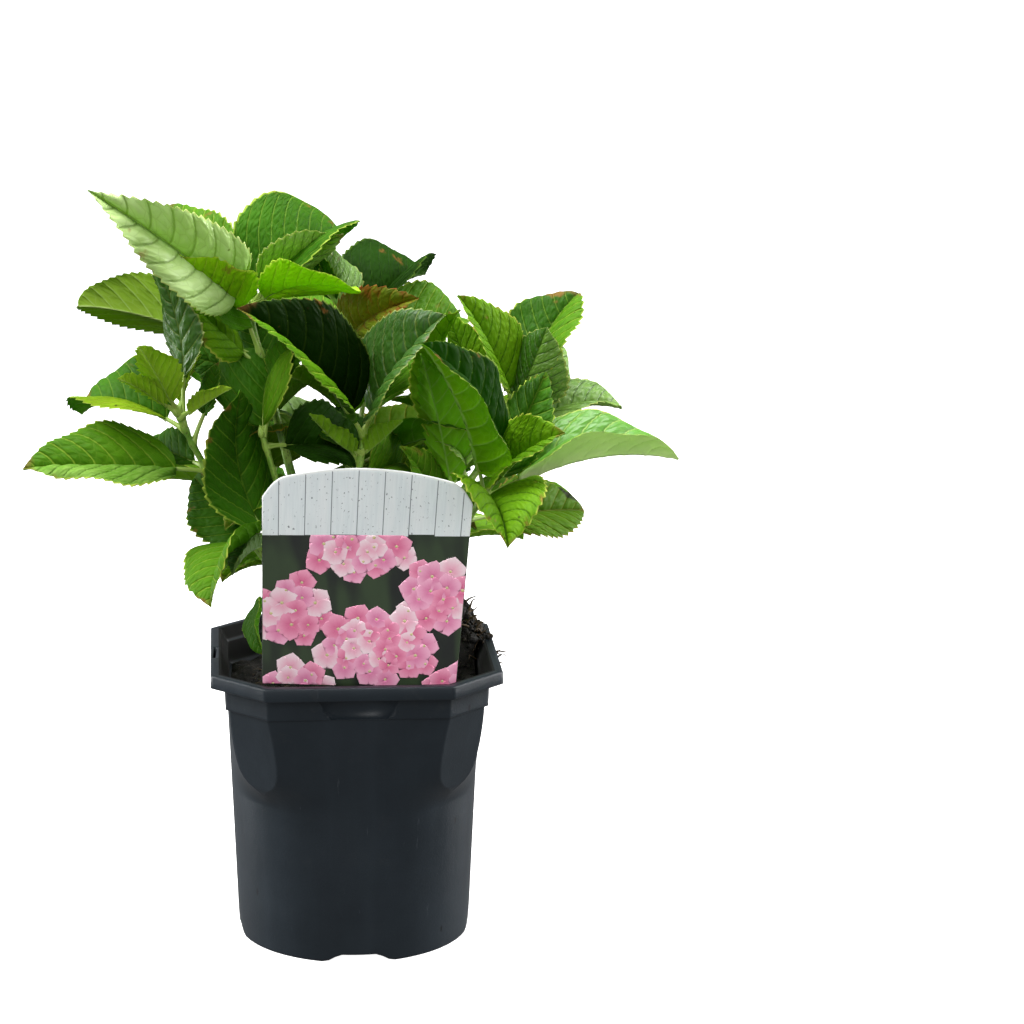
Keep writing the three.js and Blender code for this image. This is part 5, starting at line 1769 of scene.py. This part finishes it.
class PlantSettings(bpy.types.PropertyGroup):
    leaves: PointerProperty(type=LeafSettings)
    shoots: PointerProperty(type=ShootSettings)
    foot: PointerProperty(type=FootSettings)
    pot: PointerProperty(type=PotSettings)
    soil: PointerProperty(type=SoilSettings)
    label: PointerProperty(type=LabelSettings)
    stage: PointerProperty(type=StageSettings)


# Operators

class GrowLeaves(bpy.types.Operator):
    """Make the leaves of every shoot, one piece for each"""
    bl_idname = "plant.leaves"
    bl_label = "Leaves"

    def execute(self, context):
        make_leaves(context.scene.plant.leaves)
        return {"FINISHED"}


class GrowShoots(bpy.types.Operator):
    """Make the green stems with their leaf stalks and buds"""
    bl_idname = "plant.shoots"
    bl_label = "Stems and stalks"

    def execute(self, context):
        make_shoots(context.scene.plant.shoots)
        return {"FINISHED"}


class GrowFoot(bpy.types.Operator):
    """Make the woody foot that the stems leave"""
    bl_idname = "plant.foot"
    bl_label = "Woody foot"

    def execute(self, context):
        make_foot(context.scene.plant.foot)
        return {"FINISHED"}


class MouldPot(bpy.types.Operator):
    """Make the eight-sided nursery pot with its rim, notches and drain holes"""
    bl_idname = "plant.pot"
    bl_label = "Pot"

    def execute(self, context):
        make_pot(context.scene.plant.pot)
        return {"FINISHED"}


class FillSoil(bpy.types.Operator):
    """Fill the pot with soil, loose crumbs and straws"""
    bl_idname = "plant.soil"
    bl_label = "Soil"

    def execute(self, context):
        make_soil(context.scene.plant.soil)
        return {"FINISHED"}


class PrintLabel(bpy.types.Operator):
    """Make the plant label, its stake and its printed flowers"""
    bl_idname = "plant.label"
    bl_label = "Label"

    def execute(self, context):
        make_label(context.scene.plant.label)
        return {"FINISHED"}


class SetStage(bpy.types.Operator):
    """Set up the floor, the lights and the camera"""
    bl_idname = "plant.stage"
    bl_label = "Stage"

    def execute(self, context):
        make_stage(context.scene.plant.stage)
        return {"FINISHED"}


STEPS = (
    (GrowLeaves, "leaves"),
    (GrowShoots, "shoots"),
    (GrowFoot, "foot"),
    (MouldPot, "pot"),
    (FillSoil, "soil"),
    (PrintLabel, "label"),
    (SetStage, "stage"),
)


class PlantPanel(bpy.types.Panel):
    bl_idname = "VIEW3D_PT_plant"
    bl_label = "Potted hydrangea"
    bl_space_type = "VIEW_3D"
    bl_region_type = "UI"
    bl_category = "Plant"

    def draw(self, context):
        for step, name in STEPS:
            box = self.layout.box()
            box.operator(step.bl_idname)
            group = getattr(context.scene.plant, name)
            for key in group.__annotations__:
                box.prop(group, key)


CLASSES = (
    LeafSettings, ShootSettings, FootSettings, PotSettings, SoilSettings, LabelSettings, StageSettings,
    PlantSettings, *(step for step, _ in STEPS), PlantPanel,
)


def register():
    """Adds the classes, and the plant's settings to every scene."""
    for kind in CLASSES:
        bpy.utils.register_class(kind)
    bpy.types.Scene.plant = PointerProperty(type=PlantSettings)


def unregister():
    """Takes the settings and the classes away again."""
    del bpy.types.Scene.plant
    for kind in reversed(CLASSES):
        bpy.utils.unregister_class(kind)


def main():
    """Makes every piece and the stage."""
    register()
    bpy.ops.plant.leaves()
    bpy.ops.plant.shoots()
    bpy.ops.plant.foot()
    bpy.ops.plant.pot()
    bpy.ops.plant.soil()
    bpy.ops.plant.label()
    bpy.ops.plant.stage()


if __name__ == "__main__":
    main()
